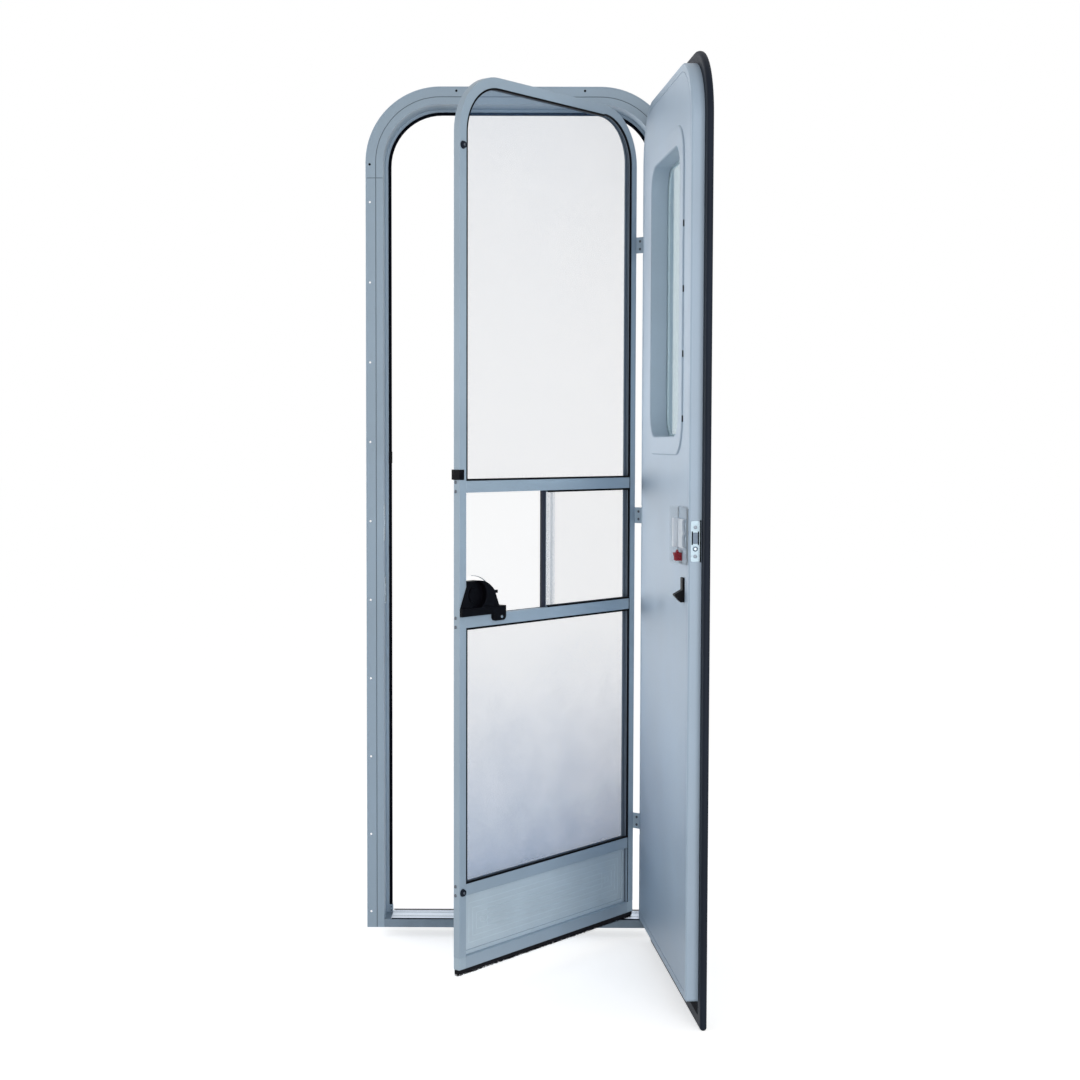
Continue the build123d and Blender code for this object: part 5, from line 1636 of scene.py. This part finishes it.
@dataclass
class MainDoor:
    """Insulated main door: body, skin, rim, window, lock, latch, hook and outside handle."""

    clip: Point = (3.0 * MM, 2.4 * MM, 12.0 * MM)
    clip_round: float = 0.6 * MM
    clip_inset: float = 0.6 * MM
    clip_ahead: float = 2.2 * MM
    clip_first: float = 1067.0 * MM
    clip_pitch: float = 116.0 * MM
    clips: int = 4
    apron: float = 0.8 * MM
    cover_edge: Pair = (1.0 * MM, 1.4 * MM)
    cover_edge_round: float = 0.3 * MM
    cover_edge_back: float = 1.2 * MM
    cover_edge_stop: float = 2.0 * MM
    guide: Pair = (0.6 * MM, 2.2 * MM)
    guide_over: float = 5.0 * MM
    gap: Pair = (0.8 * MM, 2.4 * MM)
    gap_over: float = 2.0 * MM
    gap_inset: float = 0.9 * MM
    gap_ahead: float = 1.4 * MM
    trim_round: float = 0.2 * MM
    stud: Pair = (5.5 * MM, 1.2 * MM)
    stud_collar: Pair = (9.0 * MM, 0.5 * MM)
    stud_drop: float = 9.5 * MM
    plate_screw: Pair = (6.5 * MM, 0.4 * MM)
    plate_screw_insets: Pair = (9.5 * MM, 11.5 * MM)
    plate_screw_proud: float = 0.6 * MM

    def build(self) -> None:
        """Finish the main door's solids and add clips, trim and screws."""
        dress("door_body", INNER, 1.2 * MM, 3)
        dress("door_skin", OUTER, 0.4 * MM)
        dress("door_rim", RUBBER, 2.0 * MM, 4)
        dress("window_surround", INNER, 1.0 * MM, 3)
        dress("window_glass", GLASS, 0.3 * MM)
        dress("window_frame", TRIM, 0.6 * MM, 3)
        dress("lock_cover", COVER, 0.8 * MM, 3)
        dress("lock_case", PALE, 0.8 * MM)
        dress("lock_knob", RED, 0.6 * MM, 3)
        dress("latch_plate", PLATE_SHADED, 0.25 * MM)
        dress("latch_bolt", BOLT_SHADED, 0.3 * MM)
        dress("door_hook", BLACK, 1.5 * MM, 3)
        dress("door_hinge_straps", POWDER, 0.5 * MM)
        dress("handle_bezel", BLACK, 1.2 * MM, 3)
        dress("handle_paddle", BLACK, 1.0 * MM, 3)
        self.clip_window()
        self.hang_apron()
        self.edge_cover()
        self.trim_latch()
        self.screw_plate()

    def clip_window(self) -> None:
        """Set the dark clips along both sides of the window surround."""
        lip = Extent.of("window_surround")
        y = lip.high.y - self.clip_ahead
        points = [
            Vector((x, y, self.clip_first + self.clip_pitch * i))
            for x in (lip.low.x + self.clip_inset, lip.high.x - self.clip_inset)
            for i in range(self.clips)
        ]
        clip = rounded_bar(self.clip, self.clip_round)
        REPEATS.lay("window_clips", Leaf.MAIN, points, UP, clip, BLACK)

    def hang_apron(self) -> None:
        """Hang the black rubber apron inside the skin, below the door's body."""
        skin, body = Extent.of("door_skin"), Extent.of("door_body")
        level = (skin.low.z + body.low.z) / 2
        line = [(skin.low.x, level), (skin.high.x, level)]
        section = (body.low.z - skin.low.z, self.apron)
        STRIPS.lay("foot_apron", Leaf.MAIN, [line], section, skin.high.y + self.apron / 2, SEAL)

    def edge_cover(self) -> None:
        """Show the thick cut edges on both sides of the clear lock cover."""
        cover = Extent.of("lock_cover")
        half, y = self.cover_edge[0] / 2, cover.low.y + self.cover_edge_back
        places = [Vector((x, y, cover.middle.z)) for x in (cover.low.x + half, cover.high.x - half)]
        bar = rounded_bar((*self.cover_edge, cover.size.z - 2 * self.cover_edge_stop), self.cover_edge_round)
        REPEATS.lay("cover_edges", Leaf.MAIN, places, UP, bar, EDGE)

    def trim_latch(self) -> None:
        """Set the dark guides beside the latch bolt, a dark strip of painted shadow in the gap behind its plate, and
        the stud below it.
        """
        plate, bolt = Extent.of("latch_plate"), Extent.of("latch_bolt")
        half = self.guide[1] / 2
        sides = [Vector((plate.low.x, y, bolt.middle.z)) for y in (bolt.low.y - half, bolt.high.y + half)]
        guide = rounded_bar((*self.guide, bolt.size.z + self.guide_over), self.trim_round)
        REPEATS.lay("bolt_guides", Leaf.MAIN, sides, UP, guide, SEAL)
        # Painted shadow: a dark strip along the plate's outer edge, next to the rim.
        beside = Vector((plate.high.x - self.gap_inset, plate.low.y - self.gap_ahead, plate.middle.z))
        gap = rounded_bar((*self.gap, plate.size.z + self.gap_over), self.trim_round)
        REPEATS.lay("plate_gap", Leaf.MAIN, [beside], UP, gap, SEAL)
        seat = Vector((plate.low.x, plate.middle.y, bolt.low.z - self.stud_drop))
        SCREWS.drive("stud_collar", Leaf.MAIN, [seat], LATCH_SIDE, self.stud_collar, BOLT_SHADED)
        seat = seat + LATCH_SIDE * self.stud_collar[1]
        SCREWS.drive("latch_stud", Leaf.MAIN, [seat], LATCH_SIDE, self.stud, STEEL)

    def screw_plate(self) -> None:
        """Drive the two screws of the latch plate."""
        plate = Extent.of("latch_plate")
        face = Extent.of("door_body").low.x - self.plate_screw_proud
        foot, head = self.plate_screw_insets
        points = [Vector((face, plate.middle.y, z)) for z in (plate.low.z + foot, plate.high.z - head)]
        SCREWS.drive("plate_screws", Leaf.MAIN, points, LATCH_SIDE, self.plate_screw, DARK_STEEL)


# Stage


@dataclass(frozen=True)
class Viewpoint:
    """Camera of the photograph, in a square frame."""

    place: Point = (0.0578, -3.6645, 1.0216)
    pitch_deg: float = 3.14
    yaw_deg: float = -0.24
    roll_deg: float = 0.17
    focal_px: float = 1757.15
    frame_px: float = 1080.0
    sensor_mm: float = 36.0
    reach: float = 100.0

    def build(self) -> None:
        """Make the camera and set it as the scene's."""
        data = bpy.data.cameras.new("view")
        data.sensor_width = self.sensor_mm
        data.lens = self.focal_px / self.frame_px * self.sensor_mm
        data.clip_end = self.reach
        camera = link_object("view", data)
        pitch, yaw, roll = (math.radians(a) for a in (self.pitch_deg, self.yaw_deg, self.roll_deg))
        forward = Vector((math.sin(yaw) * math.cos(pitch), math.cos(yaw) * math.cos(pitch), -math.sin(pitch)))
        right = Vector((math.cos(yaw), -math.sin(yaw), 0.0))
        up = right.cross(forward)
        tilted_right = math.cos(roll) * right + math.sin(roll) * up
        tilted_up = -math.sin(roll) * right + math.cos(roll) * up
        turn = Matrix((tilted_right, tilted_up, -forward)).transposed().to_4x4()
        camera.matrix_world = Matrix.Translation(self.place) @ turn
        bpy.context.scene.camera = camera


@dataclass(frozen=True)
class Lamp:
    """Square soft light."""

    name: str
    place: Point
    aim: Point
    size: float
    power: float
    spread_deg: float = 180.0

    def hang(self) -> None:
        """Make the light and turn it to its aim."""
        data = bpy.data.lights.new(self.name, "AREA")
        data.size = self.size
        data.energy = self.power
        data.spread = math.radians(self.spread_deg)
        light = link_object(self.name, data)
        light.location = self.place
        light.rotation_euler = (Vector(self.aim) - Vector(self.place)).to_track_quat("-Z", "Y").to_euler()


@dataclass(frozen=True)
class Studio:
    """Pale floor, soft lights and a white surround."""

    ambient: float = 0.50
    floor_half: float = 42.0
    floor_drop: float = 0.2 * MM
    floor_tone: float = 0.8
    floor_share: float = 0.40
    key: Lamp = Lamp("key", (-2.4, 1.4, 0.93), (0.3, -0.3, 0.73), size=2.8, power=20.5, spread_deg=60.0)
    fill: Lamp = Lamp("fill", (1.1, -3.6, 1.1), (0.05, -0.2, 0.9), size=2.0, power=47.0)

    def build(self) -> None:
        """Make the floor, the lights and the world."""
        bpy.context.scene.view_settings.view_transform = "Standard"
        self.lay_floor()
        self.key.hang()
        self.fill.hang()
        self.light_world()

    def lay_floor(self) -> None:
        """Lay the floor under the lowest point of the doors."""
        half, level = self.floor_half, CAD_BOX[0].z - self.floor_drop
        corners = [(-half, -half, level), (half, -half, level), (half, half, level), (-half, half, level)]
        mesh = bpy.data.meshes.new("floor")
        mesh.from_pydata(corners, [], [(0, 1, 2, 3)])
        floor = link_object("floor", mesh)
        material = bpy.data.materials.new("floor_white")
        graph = Graph.cleared(material)
        matt = graph.add("ShaderNodeBsdfDiffuse")
        matt.inputs[0].default_value = (self.floor_tone, self.floor_tone, self.floor_tone, 1.0)
        glow = graph.add("ShaderNodeEmission")
        glow.inputs[0].default_value = WHITE
        seen = self.seen_plainly(graph)
        graph.join(graph.maths("MULTIPLY", seen, 1.0 - self.floor_share), glow.inputs[1])
        both = graph.add("ShaderNodeAddShader")
        graph.join(matt.outputs[0], both.inputs[0])
        graph.join(glow.outputs[0], both.inputs[1])
        graph.join(both.outputs[0], graph.add("ShaderNodeOutputMaterial").inputs[0])
        mesh.materials.append(material)

    @staticmethod
    def seen_plainly(graph: Graph) -> bpy.types.NodeSocket:
        """Mask of the rays that should meet plain white.

        Args:
            graph: Graph to add the nodes to.

        Returns:
            A socket that is 1 for camera, glossy and transmission rays.
        """
        path = graph.add("ShaderNodeLightPath")
        first = graph.maths("MAXIMUM", path.outputs["Is Camera Ray"], path.outputs["Is Glossy Ray"])
        return graph.maths("MAXIMUM", first, path.outputs["Is Transmission Ray"])

    def light_world(self) -> None:
        """White for what looks at it, and a soft level for what it lights."""
        world = bpy.context.scene.world = bpy.data.worlds.new("surround")
        graph = Graph.cleared(world)
        light = graph.add("ShaderNodeBackground")
        light.inputs[0].default_value = WHITE
        graph.join(graph.spread(self.seen_plainly(graph), 0.0, 1.0, self.ambient, 1.0), light.inputs[1])
        graph.join(light.outputs[0], graph.add("ShaderNodeOutputWorld").inputs[0])


def main() -> None:
    """Build the stage and each sub-assembly in order."""
    logging.basicConfig(level=logging.INFO, format="%(name)s: %(message)s")
    Viewpoint().build()
    Studio().build()
    for part in (OuterFrame(), FlyScreen(), MainDoor()):
        LOG.info("building %s", type(part).__name__)
        part.build()


if __name__ == "__main__":
    main()
